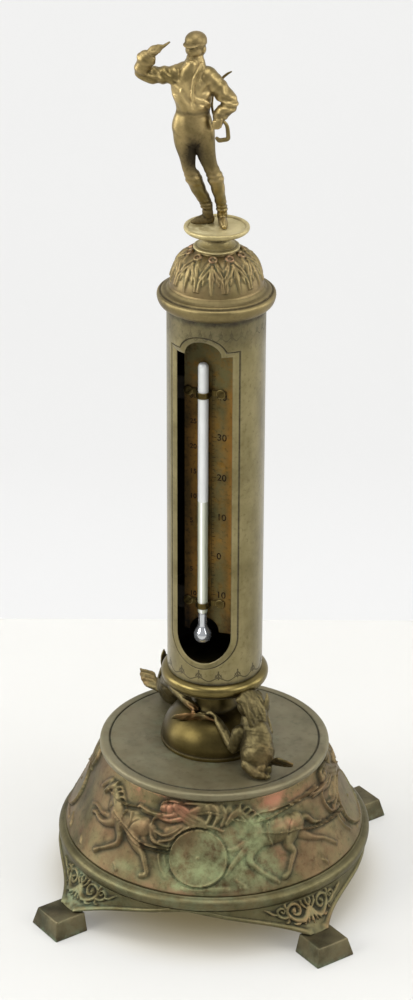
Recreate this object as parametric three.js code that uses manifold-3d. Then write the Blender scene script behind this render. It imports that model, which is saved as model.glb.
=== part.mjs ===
// Desk thermometer with a rider finial, a windowed brass column and a flared base
// with a chariot frieze on four block feet.
// Millimetres, +Z up. The origin is the middle of the footprint on the table.
// The window faces -Y and the feet stand on the diagonals.
import * as THREE from 'three';
import { mergeVertices } from 'three/addons/utils/BufferGeometryUtils.js';
import Module from 'manifold-3d';

const wasm = await Module();
wasm.setup();

// Fits
const seatGap = 0.1; // between two flat seats
const cutGap = 0.3; // round a shaft, a spigot or a piece cut by its neighbour
const overrun = 1; // how far a cutter passes the face that it cuts

// Base ring: the pieces above and below it take their width from it
const baseRingRadius = 53.8;
const baseRingHeight = 4.4;
const baseRingWall = 6.8;

// Plinth
const plinthHeight = 10.3; // from the top of the feet to the base ring
const plinthSetback = 0.6; // the plinth's top stands inside the base ring
const plinthWall = 2.6;
const skirtMidHeight = 0.6; // height of the skirt halfway between two legs
const legSplay = 7.7; // from the plinth's top out to a leg's end
const legEndWidth = 8.3;
const legPad = 3; // added thickness of a leg at its end
const edgeRibHeight = 0.8;
const edgeRibWidth = 1.6;

// Feet
const footHeight = 6.6;
const footTopWidth = 12.4;
const footBottomWidth = 15.3;
const footSetOut = 1.8; // from a leg's end out to the foot's middle
const tenonThickness = 1.4;
const tenonWidth = 5;
const tenonHeight = 1.5; // above the foot's top

// Frieze drum
const drumHeight = 28.9;
const drumSetback = 2.4; // the drum's foot stands inside the base ring
const drumTopRadius = 37.8;
const drumFlare = 0.7; // how far the drum's side hangs inside the straight line
const drumWall = 2;
const drumLedge = 5; // width of the inner ledge that carries the disc

// Cast forms on the drum: a wheel, a horse and a driver to each chariot
const chariotCount = 4;
const firstWheelTurn = -1.527; // radians from +X, just left of the front
const wheelRadius = 9;
const wheelRise = 1;
const wheelSink = 1.3;
const wheelSides = 20;
const wheelHeightShare = 0.39; // of the drum's height
const formRise = 1.15; // how far horses and drivers stand out of the drum's side
const formSides = 8;
const formRings = 6;
const fullSize = 1; // for a limb whose stations are given in full

// Disc
const discOverhang = 1.4; // outside the top of the drum
const discThickness = 3;
const discGrooveInset = 3.5; // from the disc's edge to its groove
const discGrooveDepth = 0.5;
const discGrooveWidth = 0.7;

// Pedestal bell and column ring
const bellInset = 20.8; // from the disc's edge in to the bell
const bellDomeHeight = 13.4;
const neckRadius = 7.2;
const neckFlare = 3.6; // how far the neck widens under the column's ring
const bellHeight = 22.9;
const columnRingHeight = 5.2;
const columnRingRadius = 18.1;
const spigotHeight = 5;

// Column
const columnRadius = 16;
const columnWall = 1;
const columnLength = 130.6;
const columnTurn = -Math.PI / 24; // the window looks a little to the onlooker's left
const windowWidth = 19.2;
const windowSill = 7.8; // from the column's lower end to the window's lowest point
const windowHead = 7.1; // from the window's highest point to the column's upper end
const windowArchRise = 5;
const windowShoulder = 3.3; // square step between the window's side and its arch

// Domed cap
const capFlangeRadius = 19.1;
const capFlangeHeight = 6;
const capLip = 1.1; // height of the small beads between flange and dome
const capDomeRadius = 15.3;
const capDomeHeight = 13.7;
const capWall = 1.6;
const capSpigotHeight = 5;

// Finial
const collarRadius = 6.8;
const saucerStemRadius = 4.3;
const saucerRadius = 10.5;
const saucerHeight = 7.2;
const saucerDish = 1.1;
const finialStudRadius = 1.6;
const finialNutWidth = 6;
const finialNutHeight = 2.4;
const finialWasherRadius = 3.6;
const washerThickness = 0.7;
const riderHeight = 64;
const riderTurn = Math.PI / 20; // the rider stands turned a little to the onlooker's right
const whipRadius = 0.42;

// Thermometer
const plateWidth = 18.6;
const plateThickness = 0.8;
const plateSill = 14.2; // from the column's lower end to the plate's lower edge
const plateHead = 9.4; // from the plate's upper edge to the column's upper end
const plateSetForward = 3.5; // from the axis to the plate's back
const stemRadius = 1.75;
const stemRise = 8; // from the plate's lower edge to the stem's lower end
const stemHead = 8.6; // from the stem's upper end to the plate's upper edge
const stemOffset = 2.35; // the glass stands to one side of the plate's middle
const bulbRadius = 2.75;
const bulbLength = 11.2;
const bulbNeckRadius = 1.5;
const bulbNotch = 2.3; // room left round the bulb in the plate's lower edge
const clipThickness = 0.5;
const clipWidth = 2.2;
const clipInset = { upper_clip: 19.6, lower_clip: 11 }; // from the plate's upper or lower edge
const scaleScrewReach = 5.5; // from the glass to the screws on its two sides
const scaleScrewRadius = 0.55;
const scaleScrewHead = 1.6;
const scaleScrewHeadHeight = 0.5;
const scaleScrewLength = 2.2; // from the plate's face to the screw's end
const bandHeight = 8;
const bandThickness = 0.8;

// Tie rod and its fastenings
const rodRadius = 1.9;
const rodEnd = 3; // thread standing past the nut
const rodCover = 2; // metal left above the rod in the column ring
const rodNutWidth = 7;
const rodNutHeight = 3.2;
const rodWasherRadius = 5.2;
const strapWidth = 12;
const strapThickness = 2.5;
const strapBearing = 3; // how far the strap reaches under the base ring

// Side figures
const sideFigurePeg = 1;
const sideFigurePegShare = 0.78; // where the peg stands, in shares of the figure's length
const sideFigurePegEnd = 6.4; // how far the peg reaches up into the figure
const sideFigureNutWidth = 4.6;
const sideFigureNutHeight = 1.8;

// Facets
const columnSides = 36;
const broadSides = 44;
const smallSides = 14;
const saucerSides = 28;
const rodSides = 12;
const curveSteps = 3;
const bigCurveSteps = 4;

// Widths worked out from the base ring and the disc, lengths worked out from the column
const baseRingBore = baseRingRadius - baseRingWall;
const plinthTopRadius = baseRingRadius - plinthSetback;
const legReach = plinthTopRadius + legSplay;
const footReach = legReach + footSetOut;
const drumFootRadius = baseRingRadius - drumSetback;
const discRadius = drumTopRadius + discOverhang;
const discGrooveRadius = discRadius - discGrooveInset;
const bellRadius = discRadius - bellInset;
const sideFigureLength = discRadius - neckRadius;
const sideFigurePegReach = sideFigureLength * sideFigurePegShare;
const windowHeight = columnLength - windowSill - windowHead;
const plateHeight = columnLength - plateSill - plateHead;
const stemSill = plateSill + stemRise;
const stemLength = plateHeight - stemRise - stemHead;
const clipHeights = {
  upper_clip: plateSill + plateHeight - clipInset.upper_clip,
  lower_clip: plateSill + clipInset.lower_clip,
};
const bandHeights = {
  upper_scale_band: clipHeights.upper_clip - bandHeight / 2,
  lower_scale_band: clipHeights.lower_clip - bandHeight / 2,
};

// Heights of the seats, worked out from the feet up
const plinthFoot = footHeight + seatGap;
const plinthTop = footHeight + plinthHeight;
const ringFoot = plinthTop + seatGap;
const drumFoot = ringFoot + baseRingHeight + seatGap;
const drumTop = drumFoot + drumHeight;
const discFoot = drumTop + seatGap;
const discTop = discFoot + discThickness;
const bellFoot = discTop + seatGap;
const columnRingFoot = bellFoot + bellHeight + seatGap;
const columnRingTop = columnRingFoot + columnRingHeight;
const rodTop = columnRingTop + spigotHeight - rodCover;
const columnFoot = columnRingTop + seatGap;
const columnTop = columnFoot + columnLength;
const capFoot = columnTop + seatGap;
const capCrown = capFoot + capFlangeHeight + capLip + capDomeHeight
  * Math.sqrt(1 - (collarRadius / capDomeRadius) ** 2);
const saucerFoot = capCrown + seatGap;
const saucerRim = saucerFoot + saucerHeight;
const saucerFloor = saucerRim - saucerDish;
const soleHeight = saucerFloor;

const columnBore = columnRadius - columnWall;
const spigotRadius = columnBore - cutGap;
const rodBore = rodRadius + cutGap;
const diagonal = Math.PI / 4;

// Materials
function metal(color, roughness) {
  return new THREE.MeshStandardMaterial({ color, roughness, metalness: 1 });
}
const polishedBrass = metal(0xa58d5a, 0.32);
const columnBrass = metal(0x847a52, 0.38);
const bronze = metal(0x6f6a4c, 0.45);
const friezeCopper = metal(0x7a6450, 0.5);
const scaleBrass = metal(0x8a6a36, 0.55);
const steel = metal(0x8c8c8a, 0.4);
const mercury = metal(0xc8c8cc, 0.08);
const opalGlass = new THREE.MeshStandardMaterial({ color: 0xe8ece8, roughness: 0.12, metalness: 0 });

// Solids
function solid(geometry) {
  const bare = geometry.index ? geometry.toNonIndexed() : geometry.clone();
  for (const name of Object.keys(bare.attributes)) {
    if (name !== 'position') bare.deleteAttribute(name);
  }
  const merged = mergeVertices(bare);
  const corners = merged.index.array;
  const kept = [];
  for (let i = 0; i < corners.length; i += 3) {
    const [a, b, c] = [corners[i], corners[i + 1], corners[i + 2]];
    if (a !== b && b !== c && c !== a) kept.push(a, b, c);
  }
  const build = (triangles) => new wasm.Manifold(new wasm.Mesh({
    numProp: 3,
    vertProperties: Float32Array.from(merged.attributes.position.array),
    triVerts: Uint32Array.from(triangles),
  }));
  const made = build(kept);
  if (made.volume() > 0) return made;
  const turned = [];
  for (let i = 0; i < kept.length; i += 3) turned.push(kept[i], kept[i + 2], kept[i + 1]);
  return build(turned);
}

function geometryOf(body) {
  const mesh = body.getMesh();
  const geometry = new THREE.BufferGeometry();
  const places = new Float32Array(mesh.numVert * 3);
  for (let i = 0; i < mesh.numVert; i += 1) {
    for (let k = 0; k < 3; k += 1) places[i * 3 + k] = mesh.vertProperties[i * mesh.numProp + k];
  }
  geometry.setAttribute('position', new THREE.BufferAttribute(places, 3));
  geometry.setIndex(new THREE.BufferAttribute(Uint32Array.from(mesh.triVerts), 1));
  geometry.computeVertexNormals();
  return geometry;
}

function joined(parts) {
  return parts.reduce((sum, next) => sum.add(next));
}

// A body of revolution about Z from a closed outline of (radius, height).
function revolve(outline, sides = columnSides, steps = curveSteps) {
  const points = outline.getPoints(steps);
  return solid(new THREE.LatheGeometry(points, sides).rotateX(Math.PI / 2));
}

// An outline that starts at a radius and height.
function outlineFrom(radius, height) {
  const outline = new THREE.Path();
  outline.moveTo(radius, height);
  return outline;
}

// A straight round bar along Z between two heights.
function bar(radius, low, high, sides = rodSides) {
  const round = new THREE.CylinderGeometry(radius, radius, high - low, sides);
  return solid(round.rotateX(Math.PI / 2).translate(0, 0, (low + high) / 2));
}

// A flat shape in (x, z) extruded along Y from a front plane backwards.
function slab(shape, front, depth, steps = curveSteps) {
  const flat = new THREE.ExtrudeGeometry(shape, { depth, bevelEnabled: false, curveSegments: steps });
  return solid(flat.rotateX(Math.PI / 2).translate(0, front + depth, 0));
}

// A hexagonal nut with a bore for a rod.
function nut(width, height, low, bore) {
  const corner = width / Math.sqrt(3);
  const hexagon = new THREE.Shape();
  for (let i = 0; i < 6; i += 1) {
    const [x, y] = [corner * Math.cos(i * Math.PI / 3), corner * Math.sin(i * Math.PI / 3)];
    if (i === 0) hexagon.moveTo(x, y);
    else hexagon.lineTo(x, y);
  }
  const block = new THREE.ExtrudeGeometry(hexagon, { depth: height, bevelEnabled: false });
  return solid(block.translate(0, 0, low)).subtract(bar(bore, low - overrun, low + height + overrun));
}

function washer(radius, low, bore) {
  return bar(radius, low, low + washerThickness)
    .subtract(bar(bore, low - overrun, low + washerThickness + overrun));
}

// A limb: an oval section carried along a smooth line through stations of
// [x, y, z, side radius, depth radius], closed by a point past each end.
function limb(stations, size, { sides = 10, rings = 9, across = new THREE.Vector3(0, 1, 0) } = {}) {
  const line = new THREE.CatmullRomCurve3(stations.map(([x, y, z]) => new THREE.Vector3(x, y, z)));
  const girth = new THREE.CatmullRomCurve3(stations.map((s) => new THREE.Vector3(s[3], s[4] ?? s[3], 0)));
  const places = [];
  const ringAt = (t, centre, share) => {
    const along = line.getTangent(t);
    const side = new THREE.Vector3().crossVectors(across, along).normalize();
    const depth = new THREE.Vector3().crossVectors(along, side).normalize();
    const { x: wide, y: deep } = girth.getPoint(t);
    for (let i = 0; i < sides; i += 1) {
      const angle = i * 2 * Math.PI / sides;
      const place = centre.clone()
        .addScaledVector(side, wide * share * Math.cos(angle))
        .addScaledVector(depth, deep * share * Math.sin(angle));
      places.push(place.x * size, place.y * size, place.z * size);
    }
  };
  const endSpread = 0.72;
  const endStep = 0.6;
  const [first, last] = [girth.getPoint(0), girth.getPoint(1)];
  const start = line.getPoint(0).addScaledVector(line.getTangent(0), -endStep * Math.min(first.x, first.y));
  const finish = line.getPoint(1).addScaledVector(line.getTangent(1), endStep * Math.min(last.x, last.y));
  ringAt(0, start, endSpread);
  for (let j = 0; j < rings; j += 1) ringAt(j / (rings - 1), line.getPoint(j / (rings - 1)), 1);
  ringAt(1, finish, endSpread);
  const rows = rings + 2;
  const corners = [];
  for (let j = 0; j < rows - 1; j += 1) {
    for (let i = 0; i < sides; i += 1) {
      const [a, b] = [j * sides + i, j * sides + (i + 1) % sides];
      corners.push(a, b, b + sides, a, b + sides, a + sides);
    }
  }
  for (let i = 1; i < sides - 1; i += 1) {
    corners.push(0, i + 1, i);
    const base = (rows - 1) * sides;
    corners.push(base, base + i, base + i + 1);
  }
  const geometry = new THREE.BufferGeometry();
  geometry.setAttribute('position', new THREE.Float32BufferAttribute(places, 3));
  geometry.setIndex(corners);
  return solid(geometry);
}

// An egg-shaped body at a place, all in shares of a size.
function ball([x, y, z], [wide, deep, tall], size, sides = 12) {
  const round = new THREE.SphereGeometry(1, sides, Math.round(sides * 2 / 3));
  round.rotateX(Math.PI / 2).scale(wide * size, deep * size, tall * size);
  return solid(round.translate(x * size, y * size, z * size));
}

// Feet: square blocks, each with a flat tenon that enters the leg above it
const footNames = ['front_left', 'front_right', 'back_right', 'back_left'];
const footTurns = [5, 7, 1, 3].map((odd) => odd * diagonal);
const tenonPlace = footReach - footTopWidth / 2 + tenonThickness / 2 + cutGap;

function tenon(grow) {
  const low = footHeight / 2;
  const high = footHeight + tenonHeight + grow;
  const tongue = new THREE.BoxGeometry(tenonThickness + 2 * grow, tenonWidth + 2 * grow, high - low);
  return solid(tongue.translate(tenonPlace, 0, (low + high) / 2));
}

function footBlock() {
  const [top, bottom] = [footTopWidth, footBottomWidth].map((width) => width / Math.SQRT2);
  const block = new THREE.CylinderGeometry(top, bottom, footHeight, 4);
  block.rotateX(Math.PI / 2).rotateZ(diagonal).translate(footReach, 0, footHeight / 2);
  return solid(block).add(tenon(0));
}

// Plinth: a skirt under the base ring whose lower edge arches between four legs.
// Across a quadrant the leg's reach and drop fall away from its end to mid-side.
function plinthFrame() {
  const legEndTurn = Math.asin(legEndWidth / 2 / legReach);
  const reachPower = 5.6;
  const dropPower = 1.25;
  const sweepPower = 1.5;
  const edgeShares = [0, 0.22, 0.42, 0.6, 0.74, 0.85, 0.93, 1];
  const skirtShares = [0, 0.3, 0.6, 1];
  const legDrop = plinthTop - plinthFoot;
  const turns = [];
  for (let quadrant = 0; quadrant < 4; quadrant += 1) {
    const middle = diagonal * (2 * quadrant + 1);
    const swing = diagonal - legEndTurn;
    for (const share of edgeShares) turns.push([middle - diagonal + share * swing, share]);
    turns.push([middle, 1]);
    for (const share of edgeShares.slice(1).reverse()) {
      turns.push([middle + diagonal - share * swing, share]);
    }
  }
  const columns = turns.map(([turn, share]) => {
    const reach = share ** reachPower;
    const edgeRadius = plinthTopRadius + (legReach - plinthTopRadius) * reach;
    const drop = skirtMidHeight + (legDrop - skirtMidHeight) * share ** dropPower;
    const wall = plinthWall + legPad * reach;
    const ribStart = Math.max(0, 1 - edgeRibWidth / drop);
    const at = (down, out) => {
      const radius = plinthTopRadius + (edgeRadius - plinthTopRadius) * down ** sweepPower + out;
      return [radius * Math.cos(turn), radius * Math.sin(turn), plinthTop - drop * down];
    };
    const rib = edgeRibHeight * Math.min(1, drop / (2 * edgeRibWidth));
    const outer = skirtShares.map((share2) => at(share2 * ribStart, 0));
    outer.push(at(ribStart, rib), at(1, rib));
    const inner = [...skirtShares].reverse().map((share2) => at(share2, -wall));
    return [...outer, ...inner];
  });
  const [count, around] = [columns[0].length, columns.length];
  const corners = [];
  for (let i = 0; i < around; i += 1) {
    for (let j = 0; j < count; j += 1) {
      const [a, b] = [i * count + j, i * count + (j + 1) % count];
      const [c, d] = [((i + 1) % around) * count + (j + 1) % count, ((i + 1) % around) * count + j];
      corners.push(a, b, c, a, c, d);
    }
  }
  const geometry = new THREE.BufferGeometry();
  geometry.setAttribute('position', new THREE.Float32BufferAttribute(columns.flat(2), 3));
  geometry.setIndex(corners);
  let frame = solid(geometry);
  for (const turn of footTurns) {
    frame = frame.subtract(tenon(cutGap).rotate([0, 0, THREE.MathUtils.radToDeg(turn)]));
  }
  return frame;
}

// Base ring: a plain rounded moulding with a small step at its top
function baseRing() {
  const step = baseRingHeight / 4;
  const outline = outlineFrom(baseRingBore, ringFoot);
  outline.lineTo(plinthTopRadius - step / 2, ringFoot);
  outline.lineTo(plinthTopRadius - step / 2, ringFoot + step / 2);
  outline.quadraticCurveTo(baseRingRadius, ringFoot + step / 2, baseRingRadius, ringFoot + 2 * step);
  outline.quadraticCurveTo(baseRingRadius, ringFoot + 3 * step, baseRingRadius - step, ringFoot + 4 * step);
  outline.lineTo(baseRingBore, ringFoot + 4 * step);
  outline.lineTo(baseRingBore, ringFoot);
  return revolve(outline, broadSides, curveSteps - 1);
}

// Frieze drum: a flared shell with an inner ledge under the disc, and the chariots cast
// on its side. A row of shares is a share of the turn from one wheel to the next, a share
// of the drum's height and a half width in shares of it.
const castShares = [
  [[-0.45, 0.61, 0.105], [-0.56, 0.58, 0.09], [-0.68, 0.57, 0.095], [-0.74, 0.67, 0.075], [-0.8, 0.84, 0.05],
    [-0.86, 0.83, 0.03]],
  [[-0.7, 0.54, 0.055], [-0.745, 0.39, 0.036], [-0.73, 0.26, 0.028], [-0.67, 0.14, 0.022]],
  [[-0.48, 0.55, 0.065], [-0.51, 0.42, 0.04], [-0.5, 0.31, 0.03], [-0.57, 0.14, 0.022]],
  [[0.045, 0.77, 0.06], [-0.03, 0.83, 0.06], [-0.11, 0.875, 0.05], [-0.165, 0.91, 0.035]],
];

function drumMiddle() {
  return [(drumFootRadius + drumTopRadius) / 2 - drumFlare, drumFoot + drumHeight / 2];
}

function drumPlace(turn, share) {
  const [bend] = drumMiddle();
  const low = (1 - share) ** 2 * drumFootRadius;
  const radius = low + 2 * share * (1 - share) * bend + share ** 2 * drumTopRadius;
  return [radius * Math.cos(turn), radius * Math.sin(turn), drumFoot + share * drumHeight];
}

function castWheel(turn) {
  const lean = Math.atan2(drumHeight, drumFootRadius - drumTopRadius);
  const outside = outlineFrom(0, drumFoot);
  const [bend, bendHeight] = drumMiddle();
  outside.lineTo(drumFootRadius + wheelRise, drumFoot);
  outside.quadraticCurveTo(bend + wheelRise, bendHeight, drumTopRadius + wheelRise, drumTop);
  outside.lineTo(0, drumTop);
  const degrees = 180 / Math.PI;
  return bar(wheelRadius, -wheelSink, wheelRadius, wheelSides)
    .rotate([0, lean * degrees, turn * degrees])
    .translate(drumPlace(turn, wheelHeightShare))
    .intersect(revolve(outside, broadSides, bigCurveSteps));
}

function castForm(shares, wheelTurn) {
  const turnOf = (share) => wheelTurn + share * 2 * Math.PI / chariotCount;
  const middle = turnOf((shares[0][0] + shares[shares.length - 1][0]) / 2);
  const slope = drumFootRadius - drumTopRadius;
  const across = new THREE.Vector3(drumHeight * Math.cos(middle), drumHeight * Math.sin(middle), slope);
  const stations = shares.map(([along, up, half]) => {
    return [...drumPlace(turnOf(along), up), half * drumHeight, formRise];
  });
  return limb(stations, fullSize, { sides: formSides, rings: formRings, across: across.normalize() });
}

function friezeDrum() {
  const middle = drumMiddle();
  const ledgeFoot = drumTop - drumWall;
  const ledgeRadius = drumTopRadius - drumWall - drumLedge;
  const outline = outlineFrom(drumFootRadius - drumWall, drumFoot);
  outline.lineTo(drumFootRadius, drumFoot);
  outline.quadraticCurveTo(...middle, drumTopRadius, drumTop);
  outline.lineTo(ledgeRadius, drumTop);
  outline.lineTo(ledgeRadius, ledgeFoot);
  outline.lineTo(drumTopRadius - drumWall / 2, ledgeFoot);
  outline.quadraticCurveTo(middle[0] - drumWall, middle[1], drumFootRadius - drumWall, drumFoot);
  const forms = [];
  for (let i = 0; i < chariotCount; i += 1) {
    const wheelTurn = firstWheelTurn + i * 2 * Math.PI / chariotCount;
    forms.push(castWheel(wheelTurn), ...castShares.map((shares) => castForm(shares, wheelTurn)));
  }
  return joined([revolve(outline, broadSides, bigCurveSteps), ...forms]);
}

// Disc: a rounded rim and one turned groove on its top face
function topDisc() {
  const rim = discThickness / 2;
  const outline = outlineFrom(rodBore, discFoot);
  outline.lineTo(discRadius - rim, discFoot);
  outline.quadraticCurveTo(discRadius, discFoot, discRadius, discFoot + rim);
  outline.quadraticCurveTo(discRadius, discTop, discRadius - rim, discTop);
  outline.lineTo(discGrooveRadius + discGrooveWidth / 2, discTop);
  outline.lineTo(discGrooveRadius, discTop - discGrooveDepth);
  outline.lineTo(discGrooveRadius - discGrooveWidth / 2, discTop);
  outline.lineTo(rodBore, discTop);
  outline.lineTo(rodBore, discFoot);
  let disc = revolve(outline, broadSides, curveSteps - 1);
  for (const turn of sideFigureTurns) {
    const hole = bar(sideFigurePeg + cutGap, discFoot - overrun, discTop + overrun);
    disc = disc.subtract(hole.translate(pegPlace(turn)));
  }
  return disc;
}

// Bell: a dome that rises into a waisted neck under the column's ring
function bellOutline(grow) {
  const domeTop = bellFoot + bellDomeHeight;
  const neckTop = bellFoot + bellHeight;
  const waist = neckRadius + grow;
  const shoulder = (bellRadius + neckRadius) / 2 + grow;
  const lip = bellHeight / 20;
  const outline = outlineFrom(rodBore, bellFoot);
  outline.lineTo(bellRadius + grow, bellFoot);
  outline.lineTo(bellRadius + grow, bellFoot + lip);
  outline.bezierCurveTo(bellRadius + grow, domeTop - lip * 5, shoulder, domeTop - lip, waist + lip, domeTop);
  outline.quadraticCurveTo(waist, domeTop + lip, waist, (domeTop + neckTop) / 2);
  outline.quadraticCurveTo(waist, neckTop - lip, waist + neckFlare, neckTop - lip);
  outline.lineTo(waist + neckFlare, neckTop);
  outline.lineTo(rodBore, neckTop);
  outline.lineTo(rodBore, bellFoot);
  return outline;
}

// Column ring: a thin lower bead, a full round above it and the column's spigot.
// The rod screws into it from below.
function columnRing(grow = 0) {
  const bead = columnRingHeight / 5;
  const round = columnRingRadius + grow;
  const shoulder = columnRadius + grow;
  const outline = outlineFrom(rodBore, columnRingFoot);
  outline.lineTo(shoulder - bead, columnRingFoot);
  outline.quadraticCurveTo(shoulder + bead, columnRingFoot, shoulder + bead, columnRingFoot + bead);
  outline.lineTo(shoulder + bead / 2, columnRingFoot + bead);
  outline.quadraticCurveTo(round, columnRingFoot + bead, round, columnRingFoot + 3 * bead);
  outline.quadraticCurveTo(round, columnRingTop - bead / 2, shoulder, columnRingTop);
  outline.lineTo(spigotRadius, columnRingTop);
  outline.lineTo(spigotRadius, columnRingTop + spigotHeight);
  outline.lineTo(0, columnRingTop + spigotHeight);
  outline.lineTo(0, rodTop + cutGap);
  outline.lineTo(rodBore, rodTop + cutGap);
  outline.lineTo(rodBore, columnRingFoot);
  return revolve(outline);
}

// Window: straight sides, a round foot and a low arch between two square shoulders
function windowShape() {
  const [half, low] = [windowWidth / 2, columnFoot + windowSill];
  const high = low + windowHeight;
  const spring = high - windowArchRise;
  const archHalf = half - windowShoulder;
  const shape = new THREE.Shape();
  shape.moveTo(-half, low + half);
  shape.absarc(0, low + half, half, Math.PI, 2 * Math.PI, false);
  shape.lineTo(half, spring);
  shape.lineTo(archHalf, spring);
  shape.absellipse(0, spring, archHalf, windowArchRise, 0, Math.PI, false);
  shape.lineTo(-half, spring);
  return shape;
}

function columnTube() {
  const outline = outlineFrom(columnBore, columnFoot);
  outline.lineTo(columnRadius, columnFoot);
  outline.lineTo(columnRadius, columnTop);
  outline.lineTo(columnBore, columnTop);
  outline.lineTo(columnBore, columnFoot);
  return revolve(outline).subtract(slab(windowShape(), -columnRadius - overrun, columnRadius, 9));
}

// Cap: a push-fit spigot, a rounded flange with two beads and a hollow dome
function domedCap() {
  const flangeTop = capFoot + capFlangeHeight;
  const domeFoot = flangeTop + capLip;
  const hole = finialStudRadius + cutGap;
  const innerFoot = capFoot + capFlangeHeight / 2;
  const [inner, innerHeight] = [spigotRadius - capWall, domeFoot + capDomeHeight - capWall - innerFoot];
  const outline = outlineFrom(inner, capFoot - capSpigotHeight);
  outline.lineTo(spigotRadius, capFoot - capSpigotHeight);
  outline.lineTo(spigotRadius, capFoot);
  outline.lineTo(columnRadius + cutGap, capFoot);
  const lipHeight = capFoot + capLip;
  outline.quadraticCurveTo(capFlangeRadius, lipHeight, capFlangeRadius, capFoot + capFlangeHeight / 2);
  outline.quadraticCurveTo(capFlangeRadius, flangeTop - capLip / 2, capDomeRadius + capLip, flangeTop);
  outline.lineTo(capDomeRadius + capLip, flangeTop + capLip / 2);
  outline.lineTo(capDomeRadius, domeFoot);
  const domeSteps = 6;
  const crown = Math.acos(collarRadius / capDomeRadius);
  for (let i = 1; i <= domeSteps; i += 1) {
    const rise = crown * i / domeSteps;
    outline.lineTo(capDomeRadius * Math.cos(rise), domeFoot + capDomeHeight * Math.sin(rise));
  }
  outline.lineTo(hole, capCrown);
  outline.lineTo(hole, innerFoot + innerHeight * Math.sqrt(1 - (finialWasherRadius / inner) ** 2));
  const start = Math.acos(finialWasherRadius / inner);
  for (let i = 0; i < domeSteps; i += 1) {
    const fall = start * (1 - i / domeSteps);
    outline.lineTo(inner * Math.cos(fall), innerFoot + innerHeight * Math.sin(fall));
  }
  outline.lineTo(inner, innerFoot);
  outline.lineTo(inner, capFoot - capSpigotHeight);
  return revolve(outline);
}
const capCeiling = capFoot + capFlangeHeight / 2 + (capFlangeHeight / 2 + capLip + capDomeHeight - capWall)
  * Math.sqrt(1 - (finialWasherRadius / (spigotRadius - capWall)) ** 2);

// Saucer: a collar, a waisted stem and a shallow dish with a rounded rim
function dishLine(outline) {
  const step = saucerHeight / 10;
  outline.lineTo(saucerRadius - step, saucerRim + step / 3);
  outline.lineTo(saucerRadius - 2 * step, saucerRim - saucerDish / 2);
  outline.lineTo(saucerRadius / 2, saucerFloor);
  outline.lineTo(0, saucerFloor);
}

// What the dish leaves no room for: all that lies under its upper face
function underDish() {
  const outline = outlineFrom(0, saucerFoot);
  outline.lineTo(saucerRadius, saucerFoot);
  outline.lineTo(saucerRadius, saucerRim);
  dishLine(outline);
  outline.lineTo(0, saucerFoot);
  return revolve(outline, saucerSides);
}

function figureSaucer() {
  const step = saucerHeight / 10;
  const socketTop = saucerFoot + saucerHeight / 2;
  const hole = finialStudRadius + cutGap;
  const outline = outlineFrom(hole, saucerFoot);
  outline.lineTo(collarRadius - step / 2, saucerFoot);
  outline.lineTo(collarRadius, saucerFoot + step);
  outline.quadraticCurveTo(saucerStemRadius, saucerFoot + 2 * step, saucerStemRadius, saucerFoot + 4 * step);
  const bowl = [saucerRadius - 4 * step, saucerRim - 3 * step];
  outline.quadraticCurveTo(saucerStemRadius, saucerFoot + 6 * step, ...bowl);
  outline.quadraticCurveTo(saucerRadius, saucerRim - step, saucerRadius, saucerRim);
  dishLine(outline);
  outline.lineTo(0, socketTop);
  outline.lineTo(hole, socketTop);
  outline.lineTo(hole, saucerFoot);
  return revolve(outline, saucerSides, 2);
}

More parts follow.
